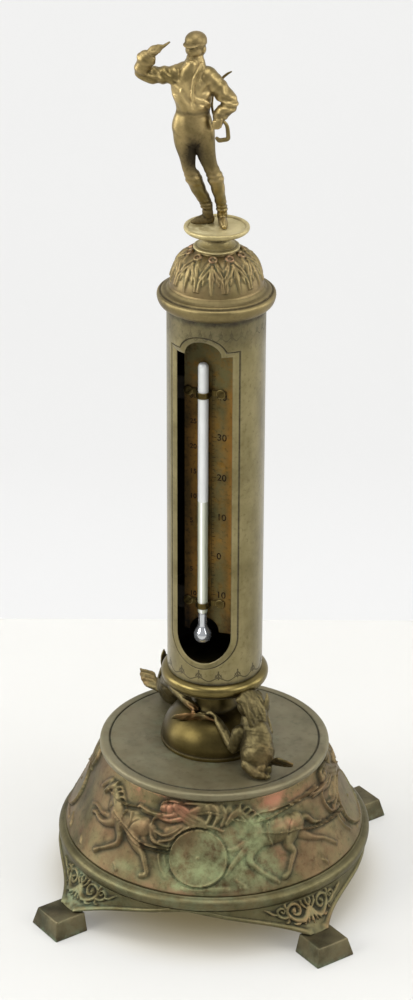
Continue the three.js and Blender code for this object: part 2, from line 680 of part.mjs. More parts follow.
// Rider: stations in shares of the rider's height, from the middle of the sole plane,
// x to the onlooker's right, y away from the onlooker and z up.
function rider() {
  const size = riderHeight;
  const torsoShares = [
    [-0.122, 0.045, 0.49, 0.084, 0.064], [-0.121, 0.045, 0.545, 0.098, 0.07],
    [-0.119, 0.045, 0.6, 0.078, 0.06],
    [-0.117, 0.045, 0.645, 0.077, 0.056], [-0.121, 0.045, 0.7, 0.092, 0.062],
    [-0.124, 0.045, 0.75, 0.1, 0.064],
    [-0.12, 0.046, 0.79, 0.098, 0.052], [-0.114, 0.047, 0.815, 0.052, 0.04],
  ];
  const innerLegShares = [
    [-0.166, 0.045, 0.53, 0.052], [-0.157, 0.04, 0.45, 0.049], [-0.146, 0.035, 0.37, 0.04],
    [-0.136, 0.035, 0.31, 0.036], [-0.108, 0.048, 0.25, 0.037], [-0.08, 0.062, 0.18, 0.033],
    [-0.055, 0.075, 0.11, 0.027], [-0.047, 0.08, 0.045, 0.026],
  ];
  const innerFootShares = [
    [-0.03, 0.086, 0.016, 0.022, 0.03], [-0.07, 0.078, 0.014, 0.02, 0.028],
    [-0.12, 0.066, 0.01, 0.014, 0.018],
  ];
  const outerLegShares = [
    [-0.075, 0.045, 0.54, 0.056], [-0.06, 0.04, 0.46, 0.05], [-0.038, 0.036, 0.38, 0.041],
    [-0.014, 0.036, 0.3, 0.036], [0, 0.046, 0.23, 0.037], [0.012, 0.058, 0.16, 0.032],
    [0.024, 0.072, 0.09, 0.025], [0.026, 0.078, 0.04, 0.025],
  ];
  const outerFootShares = [
    [0.027, 0.098, 0.016, 0.021, 0.03], [0.032, 0.04, 0.014, 0.021, 0.028],
    [0.038, -0.012, 0.01, 0.014, 0.018],
  ];
  const raisedArmShares = [
    [-0.19, 0.045, 0.765, 0.046], [-0.26, 0.035, 0.75, 0.042], [-0.325, 0.02, 0.745, 0.044],
    [-0.366, 0, 0.762, 0.04], [-0.372, -0.02, 0.81, 0.037], [-0.35, -0.035, 0.852, 0.034],
  ];
  const cuffShares = [[-0.36, -0.028, 0.835, 0.047], [-0.342, -0.038, 0.865, 0.043]];
  const raisedHandShares = [
    [-0.335, -0.042, 0.875, 0.024, 0.022], [-0.308, -0.05, 0.905, 0.03, 0.024],
    [-0.282, -0.055, 0.93, 0.022, 0.02],
  ];
  const stickShares = [
    [-0.285, -0.058, 0.926, 0.012], [-0.26, -0.06, 0.938, 0.009],
    [-0.232, -0.062, 0.957, 0.006],
  ];
  const hipArmShares = [
    [-0.045, 0.045, 0.765, 0.05], [0.005, 0.04, 0.725, 0.044], [0.055, 0.03, 0.67, 0.042],
    [0.08, 0.02, 0.635, 0.042], [0.058, 0.008, 0.6, 0.036], [0.022, 0, 0.568, 0.027],
  ];
  const hipHandShares = [[0.02, -0.004, 0.56, 0.026, 0.024], [0.004, -0.006, 0.525, 0.024, 0.024]];
  const neckShares = [
    [-0.115, 0.046, 0.8, 0.036], [-0.112, 0.046, 0.84, 0.033],
    [-0.108, 0.044, 0.87, 0.032],
  ];
  const jacketShares = [
    [-0.112, 0.045, 0.63, 0.082, 0.066], [-0.116, 0.045, 0.66, 0.083, 0.064],
    [-0.12, 0.045, 0.7, 0.093, 0.066],
  ];
  const peakShares = [[-0.13, 0.03, 0.958, 0.034, 0.012], [-0.158, 0.015, 0.95, 0.026, 0.006]];
  const flat = new THREE.Vector3(0, 0, 1);
  return joined([
    limb(torsoShares, size, { sides: 12, rings: 9 }),
    limb(innerLegShares, size, { sides: 9, rings: 10 }),
    limb(innerFootShares, size, { sides: 8, rings: 5, across: flat }),
    limb(outerLegShares, size, { sides: 9, rings: 10 }),
    limb(outerFootShares, size, { sides: 8, rings: 5, across: flat }),
    limb(raisedArmShares, size, { sides: 8, rings: 8 }),
    limb(cuffShares, size, { rings: 3 }),
    limb(raisedHandShares, size, { sides: 8, rings: 4 }),
    limb(stickShares, size, { sides: 6, rings: 3 }),
    limb(hipArmShares, size, { sides: 8, rings: 8 }),
    limb(hipHandShares, size, { sides: 8, rings: 3 }),
    limb(neckShares, size, { sides: 8, rings: 3 }),
    limb(jacketShares, size, { sides: 12, rings: 3 }),
    limb(peakShares, size, { rings: 4, across: flat }),
    ball([-0.107, 0.042, 0.915], [0.05, 0.058, 0.066], size, 10),
    ball([-0.103, 0.045, 0.953], [0.054, 0.062, 0.046], size, 12),
  ]);
}

// Whip: a bowed rod from an L-shaped handle, through the hand, up behind the arm
function whipPath() {
  const places = [
    [0, 0.006, 0.455], [0.025, 0.006, 0.449], [0.05, 0.004, 0.465], [0.046, 0, 0.5], [0.03, -0.004, 0.53],
    [0.006, -0.004, 0.545], [-0.018, 0.02, 0.57], [-0.026, 0.07, 0.62], [-0.018, 0.11, 0.68],
    [0.004, 0.115, 0.735], [0.038, 0.11, 0.79], [0.074, 0.105, 0.836],
  ];
  const size = riderHeight;
  const points = places.map(([x, y, z]) => new THREE.Vector3(x, y, z).multiplyScalar(size));
  return new THREE.CatmullRomCurve3(points);
}

function whip(grow = 0) {
  const section = new THREE.Shape().absarc(0, 0, whipRadius + grow, 0, 2 * Math.PI);
  const settings = { steps: 24, curveSegments: 4, bevelEnabled: false, extrudePath: whipPath() };
  return solid(new THREE.ExtrudeGeometry(section, settings));
}

// Thermometer: the plate stands on its edge behind the window, the glass in front of it
const plateFoot = columnFoot + plateSill;
const stemFoot = columnFoot + stemSill;
const bulbTop = stemFoot - seatGap;
const plateFront = -(plateSetForward + plateThickness);
const stemDepth = plateFront - cutGap - stemRadius;
const bandChord = -plateSetForward + cutGap;
const stemPlace = [-stemOffset, stemDepth, 0];
const scaleScrewPlaces = {
  upper_left: [-stemOffset - scaleScrewReach, clipHeights.upper_clip],
  upper_right: [-stemOffset + scaleScrewReach, clipHeights.upper_clip],
  lower_left: [-stemOffset - scaleScrewReach, clipHeights.lower_clip],
  lower_right: [-stemOffset + scaleScrewReach, clipHeights.lower_clip],
};

function scaleScrew(grow = 0) {
  const seat = plateFront - 2 * seatGap - clipThickness;
  const head = seat - scaleScrewHeadHeight;
  const shank = bar(scaleScrewRadius + grow, head + scaleScrewHeadHeight / 2,
    plateFront + scaleScrewLength + grow, 8);
  return shank.add(bar(scaleScrewHead, head, seat)).rotate([-90, 0, 0]);
}

function scalePlate() {
  const half = plateWidth / 2;
  const [low, high] = [plateFoot, plateFoot + plateHeight];
  const shape = new THREE.Shape();
  const notch = bulbRadius + bulbNotch;
  shape.moveTo(-half, low);
  shape.lineTo(-stemOffset - notch, low);
  shape.absarc(-stemOffset, low, notch, Math.PI, 0, true);
  shape.lineTo(half, low);
  shape.lineTo(half, high - half / 2);
  shape.bezierCurveTo(half, high - half / 5, half / 2, high, 0, high);
  shape.bezierCurveTo(-half / 2, high, -half, high - half / 5, -half, high - half / 2);
  return slab(shape, plateFront, plateThickness, 7).subtract(screwHoles());
}

function glassStem() {
  const top = stemFoot + stemLength;
  const outline = outlineFrom(0, stemFoot);
  outline.lineTo(bulbNeckRadius, stemFoot);
  outline.quadraticCurveTo(stemRadius, stemFoot, stemRadius, stemFoot + stemRadius);
  outline.lineTo(stemRadius, top - stemRadius);
  outline.quadraticCurveTo(stemRadius, top, 0, top);
  return revolve(outline, smallSides, 3);
}

function mercuryBulb() {
  const low = bulbTop - bulbLength;
  const belly = low + bulbRadius;
  const outline = outlineFrom(0, low);
  outline.bezierCurveTo(bulbRadius / 2, low, bulbRadius, low + bulbRadius / 3, bulbRadius, belly);
  outline.bezierCurveTo(bulbRadius, belly + bulbRadius, bulbNeckRadius, bulbTop - bulbRadius,
    bulbNeckRadius, bulbTop);
  outline.lineTo(0, bulbTop);
  return revolve(outline, smallSides, 5);
}

// Clip: a strap bent round the glass, with two ears held under the screws
function clip() {
  const [inner, outer] = [stemRadius + cutGap / 2, stemRadius + cutGap / 2 + clipThickness];
  const [back, ear] = [plateFront - seatGap, scaleScrewReach + scaleScrewHead];
  const shape = new THREE.Shape();
  shape.moveTo(-ear, back - clipThickness);
  shape.lineTo(-outer, back - clipThickness);
  shape.lineTo(-outer, stemDepth);
  shape.absarc(0, stemDepth, outer, Math.PI, 2 * Math.PI, false);
  shape.lineTo(outer, back - clipThickness);
  shape.lineTo(ear, back - clipThickness);
  shape.lineTo(ear, back);
  shape.lineTo(inner, back);
  shape.lineTo(inner, stemDepth);
  shape.absarc(0, stemDepth, inner, 0, Math.PI, true);
  shape.lineTo(-inner, back);
  shape.lineTo(-ear, back);
  const settings = { depth: clipWidth, bevelEnabled: false, curveSegments: 6 };
  const strap = solid(new THREE.ExtrudeGeometry(shape, settings).translate(0, 0, -clipWidth / 2));
  const hole = bar(scaleScrewRadius + cutGap / 2, plateFront - overrun, plateFront, 8).rotate([-90, 0, 0]);
  return strap.subtract(hole.translate([scaleScrewReach, 0, 0]))
    .subtract(hole.translate([-scaleScrewReach, 0, 0]));
}

// Holes for the four screws in the plate and in the bands behind it
function screwHoles() {
  return joined(Object.values(scaleScrewPlaces)
    .map(([x, height]) => scaleScrew(cutGap / 2).translate([x, 0, columnFoot + height])));
}

// Band: a flat strip behind the plate, bent round to bear on the tube's bore
function scaleBand(low) {
  const chord = bandChord;
  const outer = columnBore - cutGap;
  const inner = outer - bandThickness;
  const shape = new THREE.Shape();
  const hole = new THREE.Path();
  const [edge, innerEdge] = [Math.asin(-chord / outer), Math.asin((-chord - bandThickness) / inner)];
  shape.moveTo(outer * Math.cos(edge), chord);
  shape.absarc(0, 0, outer, -edge, Math.PI + edge, false);
  hole.moveTo(inner * Math.cos(innerEdge), chord + bandThickness);
  hole.absarc(0, 0, inner, -innerEdge, Math.PI + innerEdge, false);
  shape.holes.push(hole);
  const settings = { depth: bandHeight, bevelEnabled: false, curveSegments: 16 };
  const strip = new THREE.ExtrudeGeometry(shape, settings);
  return solid(strip.translate(0, 0, low)).subtract(screwHoles());
}

// Side figure: a sea creature leaning on the bell with a fling of tail behind it.
// Stations in shares of its length, x outwards from the axis, y to one side, z above the disc.
const sideFigureTurns = [7 * diagonal, 3 * diagonal];

function pegPlace(turn) {
  return [sideFigurePegReach * Math.cos(turn), sideFigurePegReach * Math.sin(turn), 0];
}

function sideFigure(bell, ring) {
  const size = sideFigureLength;
  const bodyShares = [
    [0.47, 0.03, 0.42, 0.11], [0.6, -0.01, 0.33, 0.125], [0.76, -0.05, 0.22, 0.15],
    [0.92, -0.05, 0.2, 0.16], [1.02, 0, 0.19, 0.11], [1.1, 0.02, 0.17, 0.06],
  ];
  const lowFlukeShares = [
    [1.04, 0.02, 0.18, 0.06], [1.14, 0.03, 0.17, 0.062, 0.035], [1.22, 0.03, 0.23, 0.03, 0.018],
  ];
  const highFlukeShares = [
    [0.98, 0.09, 0.22, 0.06], [0.95, 0.13, 0.4, 0.062, 0.035], [0.88, 0.14, 0.56, 0.045, 0.028],
    [0.84, 0.14, 0.64, 0.02, 0.014],
  ];
  const armShares = (side) => [
    [0.5, 0.1 * side, 0.42, 0.06], [0.62, 0.2 * side, 0.28, 0.05], [0.5, 0.21 * side, 0.34, 0.045],
    [0.34, 0.18 * side, 0.42, 0.035],
  ];
  const handShares = (side) => [[0.36, 0.18 * side, 0.42, 0.035], [0.26, 0.15 * side, 0.44, 0.03, 0.02]];
  const hairShares = [
    [0.52, 0.04, 0.67, 0.1, 0.08], [0.6, 0.05, 0.58, 0.125, 0.07], [0.68, 0.06, 0.48, 0.09, 0.06],
    [0.76, 0.07, 0.38, 0.04, 0.03],
  ];
  const pawShares = [
    [0.92, -0.13, 0.08, 0.06], [1.05, -0.15, 0.05, 0.05, 0.035],
    [1.15, -0.15, 0.035, 0.03, 0.02],
  ];
  const creature = joined([
    limb(bodyShares, size, { sides: 10, rings: 8 }),
    limb(lowFlukeShares, size, { sides: 6, rings: 4 }),
    limb(highFlukeShares, size, { sides: 6, rings: 6, across: new THREE.Vector3(1, 0, 0) }),
    limb(hairShares, size, { sides: 8, rings: 5 }),
    limb(pawShares, size, { sides: 6, rings: 4 }),
    ...[-1, 1].map((side) => limb(armShares(side), size, { sides: 6, rings: 6 })),
    ...[-1, 1].map((side) => limb(handShares(side), size, { sides: 6, rings: 3 })),
    ball([0.52, 0.04, 0.6], [0.1, 0.095, 0.115], size, 10),
  ]).translate([0, 0, discTop]);
  const belowDisc = solid(new THREE.BoxGeometry(3 * size, 2 * size, size)
    .translate(size, 0, discTop + cutGap - size / 2));
  const peg = bar(sideFigurePeg, discFoot - sideFigureNutHeight - 2 * seatGap, discTop + sideFigurePegEnd);
  return creature.subtract(belowDisc).subtract(bell).subtract(ring)
    .add(peg.translate([sideFigurePegReach, 0, 0]));
}

// Tie rod, its washers and nuts, and the strap under the base ring
const strapTop = ringFoot - seatGap;
const strapFoot = strapTop - strapThickness;
const rodWasherFoot = strapFoot - seatGap - washerThickness;
const rodNutFoot = rodWasherFoot - seatGap - rodNutHeight;

function crossStrap() {
  const length = 2 * (baseRingBore + strapBearing);
  const strap = new THREE.BoxGeometry(length, strapWidth, strapThickness);
  return solid(strap.translate(0, 0, (strapFoot + strapTop) / 2))
    .subtract(bar(rodBore, strapFoot - overrun, strapTop + overrun));
}

// The thermometer
const thermometer = new THREE.Group();

function place(name, body, material, parent = thermometer) {
  const mesh = new THREE.Mesh(geometryOf(body), material);
  mesh.name = name;
  parent.add(mesh);
  return mesh;
}

footNames.forEach((name, i) => {
  place(`${name}_foot`, footBlock(), bronze).rotation.z = footTurns[i];
});
place('plinth_frame', plinthFrame(), bronze);
place('base_ring', baseRing(), bronze);
place('frieze_drum', friezeDrum(), friezeCopper);
place('top_disc', topDisc(), bronze);
place('pedestal_bell', revolve(bellOutline(0)), columnBrass);
place('column_base_ring', columnRing(), columnBrass);
const column = new THREE.Group();
column.rotation.z = columnTurn;
thermometer.add(column);
place('column_tube', columnTube(), columnBrass, column);

place('cross_strap', crossStrap(), steel);
place('tie_rod', bar(rodRadius, rodNutFoot - rodEnd, rodTop), steel);
place('rod_washer', washer(rodWasherRadius, rodWasherFoot, rodBore), steel);
place('rod_nut', nut(rodNutWidth, rodNutHeight, rodNutFoot, rodBore), steel);

const sideFigureBody = sideFigure(revolve(bellOutline(cutGap)), columnRing(cutGap));
const sideNutFoot = discFoot - sideFigureNutHeight - seatGap;
['front', 'back'].forEach((side, i) => {
  place(`${side}_side_figure`, sideFigureBody, polishedBrass).rotation.z = sideFigureTurns[i];
  const bore = sideFigurePeg + cutGap;
  const sideNut = nut(sideFigureNutWidth, sideFigureNutHeight, sideNutFoot, bore);
  place(`${side}_side_figure_nut`, sideNut, steel).position.set(...pegPlace(sideFigureTurns[i]));
});

place('scale_plate', scalePlate(), scaleBrass, column);
place('glass_stem', glassStem(), opalGlass, column).position.set(...stemPlace);
place('mercury_bulb', mercuryBulb(), mercury, column).position.set(...stemPlace);
for (const [name, height] of Object.entries(clipHeights)) {
  place(name, clip(), columnBrass, column).position.set(-stemOffset, 0, columnFoot + height);
}
for (const [name, [x, height]] of Object.entries(scaleScrewPlaces)) {
  const screw = place(`${name}_scale_screw`, scaleScrew(), columnBrass, column);
  screw.position.set(x, 0, columnFoot + height);
}
for (const [name, height] of Object.entries(bandHeights)) {
  place(name, scaleBand(columnFoot + height), columnBrass, column);
}

place('domed_cap', domedCap(), columnBrass);
place('figure_saucer', figureSaucer(), polishedBrass);
const finialWasherFoot = capCeiling - seatGap - washerThickness;
const finialNutFoot = finialWasherFoot - seatGap - finialNutHeight;
const studFoot = finialNutFoot - finialNutHeight / 2;
place('finial_stud', bar(finialStudRadius, studFoot, saucerFoot + saucerHeight / 2 - cutGap), steel);
const finialWasher = washer(finialWasherRadius - cutGap, finialWasherFoot, finialStudRadius + cutGap);
place('finial_washer', finialWasher, steel);
place('finial_nut', nut(finialNutWidth, finialNutHeight, finialNutFoot, finialStudRadius + cutGap), steel);
const riderGroup = new THREE.Group();
riderGroup.position.set(0, 0, soleHeight);
riderGroup.rotation.z = riderTurn;
thermometer.add(riderGroup);
const dish = underDish().translate([0, 0, seatGap - soleHeight]);
place('jockey_figure', rider().subtract(whip(cutGap)).subtract(dish), polishedBrass, riderGroup);
place('riding_whip', whip(), polishedBrass, riderGroup);

export default thermometer;
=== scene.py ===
"""Looks of a desk thermometer: a rider on a domed brass column over a frieze drum on four feet.

Sizes are in millimetres, as on a maker's drawing, and turn into metres when a mesh is made. The middle
of the footprint on the table is the origin, z is up and the window looks along -y.
"""

import logging
import math
from dataclasses import dataclass, field
from enum import Enum

import bmesh
import bpy
import numpy as np
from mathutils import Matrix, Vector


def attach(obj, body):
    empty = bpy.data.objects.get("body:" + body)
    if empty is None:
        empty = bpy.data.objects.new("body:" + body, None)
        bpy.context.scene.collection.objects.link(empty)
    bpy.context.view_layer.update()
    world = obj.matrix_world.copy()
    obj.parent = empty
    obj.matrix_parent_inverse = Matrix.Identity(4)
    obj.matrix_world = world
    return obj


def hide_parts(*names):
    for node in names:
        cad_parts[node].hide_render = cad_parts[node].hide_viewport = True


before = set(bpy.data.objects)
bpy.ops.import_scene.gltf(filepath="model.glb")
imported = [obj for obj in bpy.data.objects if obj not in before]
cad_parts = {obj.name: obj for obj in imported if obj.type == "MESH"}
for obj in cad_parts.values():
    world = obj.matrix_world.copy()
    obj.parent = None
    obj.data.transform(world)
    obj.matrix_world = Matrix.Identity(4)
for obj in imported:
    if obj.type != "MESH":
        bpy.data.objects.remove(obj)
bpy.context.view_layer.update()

Array = np.ndarray
MM = 0.001
WINDOW_TURN = -math.pi / 24  # the window faces a little left of the front
log = logging.getLogger("thermometer")


class Body(Enum):
    """The bodies that pieces ride on."""

    STAND = "stand"
    CAP = "cap"
    FINIAL = "finial"


# Numbers


def held(values: Array) -> Array:
    """Keeps numbers between 0 and 1."""
    return np.clip(values, 0, 1)


def run(start: float, end: float, steps: int) -> Array:
    """Evenly spaced numbers from start on, without the end itself."""
    return np.linspace(start, end, steps + 1)[:-1]


def circle(steps: int) -> Array:
    """Angles evenly round a circle, in radians."""
    return np.arange(steps) * 2 * math.pi / steps


def unit(vectors: Array) -> Array:
    """Each row made one long."""
    return vectors / np.maximum(np.linalg.norm(vectors, axis=1, keepdims=True), 1e-12)


def smooth_steps(values: Array, low: float, high: float) -> Array:
    """Runs smoothly from 0 at low to 1 at high, as 3t^2 - 2t^3."""
    t = held((values - low) / (high - low))
    return t * t * (3 - 2 * t)


def swell(values: Array, at: float, wide: float) -> Array:
    """A bell curve that is 1 at a place and dies away over a width, as exp(-((v - at) / wide)^2)."""
    return np.exp(-(((values - at) / wide) ** 2))


# Surfaces


@dataclass
class Surface:
    """A surface in millimetres.

    points is (n, 3); faces is a list of (m, 3) or (m, 4) index arrays; coats says which finish each of
    those arrays takes; marks holds a number per point under a name, which a finish reads.
    """

    points: Array
    faces: list
    coats: list = field(default_factory=list)
    marks: dict = field(default_factory=dict)

    def placed(self, shift=(0.0, 0.0, 0.0), turn: float = 0.0) -> "Surface":
        """Turns the surface about z by turn radians, then moves it by shift."""
        c, s = math.cos(turn), math.sin(turn)
        spin = np.array([[c, -s, 0], [s, c, 0], [0, 0, 1]])
        return Surface(self.points @ spin.T + np.asarray(shift, float), self.faces, self.coats, self.marks)

    def triangles(self) -> Array:
        """All faces as triangles, each quad cut along its first diagonal."""
        rows = []
        for f in self.faces:
            rows.append(f[:, :3])
            if f.shape[1] == 4:
                rows.append(f[:, [0, 2, 3]])
        return np.concatenate(rows)

    def facing_out(self) -> "Surface":
        """Turns the faces round if the volume they enclose, a sum of corner tetrahedra, is negative."""
        a, b, c = (self.points[self.triangles()[:, k]] for k in range(3))
        if np.einsum("ij,ij->i", a, np.cross(b, c)).sum() < 0:
            self.faces = [f[:, ::-1] for f in self.faces]
        return self

    def normals(self) -> Array:
        """The unit normal at each point: the sum of its triangles' area vectors, made one long."""
        t = self.triangles()
        a, b, c = (self.points[t[:, k]] for k in range(3))
        area = np.cross(b - a, c - a)
        total = np.stack(
            [sum(np.bincount(t[:, k], area[:, axis],
                             len(self.points)) for k in range(3)) for axis in range(3)],
            axis=1,
        )
        return unit(total)


def combined(*surfaces: Surface) -> Surface:
    """Puts surfaces side by side in one, without joining their shapes.

    Args:
        surfaces: The surfaces; a mark that one lacks is 0 there.
    Returns:
        One surface with all their faces.
    """
    names = {name for s in surfaces for name in s.marks}
    starts = np.cumsum([0] + [len(s.points) for s in surfaces])
    faces = [f + start for s, start in zip(surfaces, starts) for f in s.faces]
    coats = [c for s in surfaces for c in (s.coats or [0] * len(s.faces))]
    marks = {n: np.concatenate([s.marks.get(n, np.zeros(len(s.points))) for s in surfaces]) for n in names}
    return Surface(np.concatenate([s.points for s in surfaces]), faces, coats, marks)


def grid_faces(rows: int, columns: int, wrap_rows: bool = False, wrap_columns: bool = False) -> Array:
    """Four-sided faces between the neighbours of a grid of points numbered row by row.

    Args:
        rows: Number of rows.
        columns: Number of columns.
        wrap_rows: Whether the last row meets the first.
        wrap_columns: Whether the last column meets the first.
    Returns:
        An (m, 4) array of point numbers.
    """
    index = np.arange(rows * columns).reshape(rows, columns)
    if wrap_rows:
        index = np.concatenate([index, index[:1]])
    if wrap_columns:
        index = np.concatenate([index, index[:, :1]], axis=1)
    corners = [index[:-1, :-1], index[1:, :-1], index[1:, 1:], index[:-1, 1:]]
    return np.stack(corners, axis=-1).reshape(-1, 4)


class Outline:
    """A half section of a turned piece, drawn upwards along its outside as (radius, height)."""

    def __init__(self, radius: float, height: float) -> None:
        """Starts the outline at a point."""
        self.stretches = [np.array([[radius, height]], float)]

    def line(self, radius: float, height: float) -> "Outline":
        """Goes straight to a point."""
        self.stretches.append(np.array([[radius, height]], float))
        return self

    def bend(self, through: tuple, end: tuple, steps: int = 12) -> "Outline":
        """Goes to end along a quadratic curve pulled towards a point: (1-t)^2 a + 2t(1-t) b + t^2 c."""
        t = np.linspace(0, 1, steps + 1)[1:, None]
        a, b, c = self.stretches[-1][-1], np.array(through, float), np.array(end, float)
        self.stretches.append((1 - t) ** 2 * a + 2 * t * (1 - t) * b + t**2 * c)
        return self

    def swing(self, first: tuple, second: tuple, end: tuple, steps: int = 18) -> "Outline":
        """Goes to end along a cubic curve pulled towards two points."""
        t = np.linspace(0, 1, steps + 1)[1:, None]
        a, b, c, d = (np.array(p, float) for p in (self.stretches[-1][-1], first, second, end))
        self.stretches.append((1 - t) ** 3 * a + 3 * t * (1 - t) ** 2 * b + 3 * t**2 * (1 - t) * c + t**3 * d)
        return self

    def points(self, corner: float = 0.18) -> Array:
        """The outline with each corner sharper than 20 degrees rounded.

        A corner gives way to a quadratic curve between two points, each up to corner away from it, with
        one more point on each side that keeps the neighbouring face flat.

        Args:
            corner: The rounding's size in millimetres.
        Returns:
            An (n, 2) array; a first or last point on the axis stays there.
        """
        p = np.concatenate(self.stretches)
        p = p[np.concatenate([[True], np.linalg.norm(np.diff(p, axis=0), axis=1) > 1e-6])]
        open_ends = p[0, 0] < 1e-9 or p[-1, 0] < 1e-9
        if not open_ends and np.allclose(p[0], p[-1]):
            p = p[:-1]
        before, after = np.roll(p, 1, axis=0) - p, np.roll(p, -1, axis=0) - p
        a, b = np.linalg.norm(before, axis=1), np.linalg.norm(after, axis=1)
        cosine = -(before * after).sum(1) / (a * b)
        sharp = cosine < math.cos(math.radians(20))
        if open_ends:
            sharp[[0, -1]] = False
        reach = np.minimum(corner, 0.4 * np.minimum(a, b))[:, None]
        start, end = p + before / a[:, None] * reach, p + after / b[:, None] * reach
        t = np.array([0, 0.25, 0.5, 0.75, 1])[None, :, None]
        curve = (1 - t) ** 2 * start[:, None] + 2 * t * (1 - t) * p[:, None] + t**2 * end[:, None]
        more = np.minimum(0.25, 0.2 * np.minimum(a, b))[:, None]
        ahead = (start + before / a[:, None] * more)[:, None]
        behind = (end + after / b[:, None] * more)[:, None]
        rows = np.concatenate([ahead, curve, behind], axis=1)
        rows[~sharp] = p[~sharp][:, None]
        keep = sharp[:, None] | (np.arange(7) == 3)[None, :]
        return rows[keep]


def profile_marks(profile: Array, closed: bool, reach: float = 0.5) -> dict:
    """Grime in an outline's inner corners and wear on its outer ones.

    Each point bends the outline by the sine of its turning angle per step; a bell curve of the distance
    to every bending point spreads that over its neighbours.

    Args:
        profile: The (n, 2) outline, drawn upwards along the outside.
        closed: Whether it closes on itself.
        reach: How far a corner's mark spreads, in millimetres.
    Returns:
        The marks grime and wear, one number from 0 to 1 for each point.
    """
    ahead, behind = np.roll(profile, -1, axis=0) - profile, profile - np.roll(profile, 1, axis=0)
    cross = behind[:, 0] * ahead[:, 1] - behind[:, 1] * ahead[:, 0]
    bend = cross / np.maximum(np.linalg.norm(ahead, axis=1) * np.linalg.norm(behind, axis=1), 1e-9)
    if not closed:
        bend[[0, -1]] = 0
    apart = np.linalg.norm(profile[:, None] - profile[None], axis=2)
    spread = swell(apart, 0, reach)
    return {"grime": held(spread @ held(-bend) * 0.9), "wear": held(spread @ held(bend) * 0.6)}


def lathe(profile: Array, steps: int = 200, lift: Array | None = None, marks: dict | None = None) -> Surface:
    """Turns an outline about z: a point is (r cos a, r sin a, z), moved out along the normal by lift.

    Args:
        profile: The (n, 2) outline of radius and height, drawn upwards along the outside.
        steps: How many times the outline is repeated round the axis.
        lift: How far each point stands out, as (steps, n), or None.
        marks: Further marks as (steps, n) arrays.
    Returns:
        A closed surface.
    """
    first, last = profile[0, 0] < 1e-9, profile[-1, 0] < 1e-9
    closed = not (first or last)
    given = profile_marks(profile, closed)
    flow = np.roll(profile, -1, axis=0) - np.roll(profile, 1, axis=0)
    if not closed:
        flow[0], flow[-1] = profile[1] - profile[0], profile[-1] - profile[-2]
    flow = unit(flow)
    outward = np.stack([flow[:, 1], -flow[:, 0]], axis=1)
    stretch = slice(1 if first else 0, len(profile) - 1 if last else len(profile))
    angle = circle(steps)[:, None]
    rise = np.zeros((steps, len(profile))) if lift is None else lift
    r = (profile[:, 0] + rise * outward[:, 0])[:, stretch]
    z = (profile[:, 1] + rise * outward[:, 1])[:, stretch]
    points = np.stack([r * np.cos(angle), r * np.sin(angle), z], axis=-1).reshape(-1, 3)
    count = r.shape[1]
    faces = [grid_faces(steps, count, True, closed)]
    values = {n: np.broadcast_to(v, (steps, len(profile)))[:, stretch].ravel() for n, v in given.items()}
    for n, v in (marks or {}).items():
        values[n] = np.asarray(v)[:, stretch].ravel()
    ring = np.arange(steps) * count
    for has_pole, row, column in ((first, 0, 0), (last, -1, count - 1)):
        if has_pole:
            pole = len(points)
            points = np.concatenate([points, [[0, 0, profile[row, 1]]]])
            values = {n: np.append(v, 0) for n, v in values.items()}
            a, b = ring + column, np.roll(ring, -1) + column
            fan = [np.full(steps, pole), b, a] if row == 0 else [np.full(steps, pole), a, b]
            faces.append(np.stack(fan, axis=1))
    return Surface(points, faces, [0] * len(faces), values).facing_out()


def loft(loops: Array, marks: dict | None = None) -> Surface:
    """Skins a stack of closed loops and closes both ends with fans to their middles.

    Args:
        loops: (k, n, 3) points, loop by loop.
        marks: Marks as (k, n) arrays.
    Returns:
        A closed surface.
    """
    k, n = loops.shape[:2]
    faces = [grid_faces(k, n, False, True)]
    points = loops.reshape(-1, 3)
    middles = np.stack([loops[0].mean(0), loops[-1].mean(0)])
    points = np.concatenate([points, middles])
    around = np.arange(n)
    ahead = np.roll(around, -1)
    faces.append(np.stack([np.full(n, k * n), ahead, around], axis=1))
    end = (k - 1) * n
    faces.append(np.stack([np.full(n, k * n + 1), end + around, end + ahead], axis=1))
    values = {m: np.concatenate([np.asarray(v).ravel(), [0, 0]]) for m, v in (marks or {}).items()}
    return Surface(points, faces, [0] * 3, values).facing_out()


def through(stations: Array, count: int) -> Array:
    """Rows on the smooth curve through stations: a Catmull-Rom blend of the four nearest ones.

    Args:
        stations: (m, k) rows of any numbers, at equal steps of the curve's parameter.
        count: How many rows to give, evenly spaced.
    Returns:
        A (count, k) array.
    """
    s = np.asarray(stations, float)
    padded = np.concatenate([2 * s[:1] - s[1:2], s, 2 * s[-1:] - s[-2:-1]])
    t = np.linspace(0, len(s) - 1, count)
    i = np.minimum(t.astype(int), len(s) - 2)
    f = (t - i)[:, None]
    a, b, c, d = (padded[i + k] for k in range(4))
    return 0.5 * (2 * b + (c - a) * f + (2 * a - 5 * b + 4 * c - d) * f**2 + (3 * b - a - 3 * c + d) * f**3)


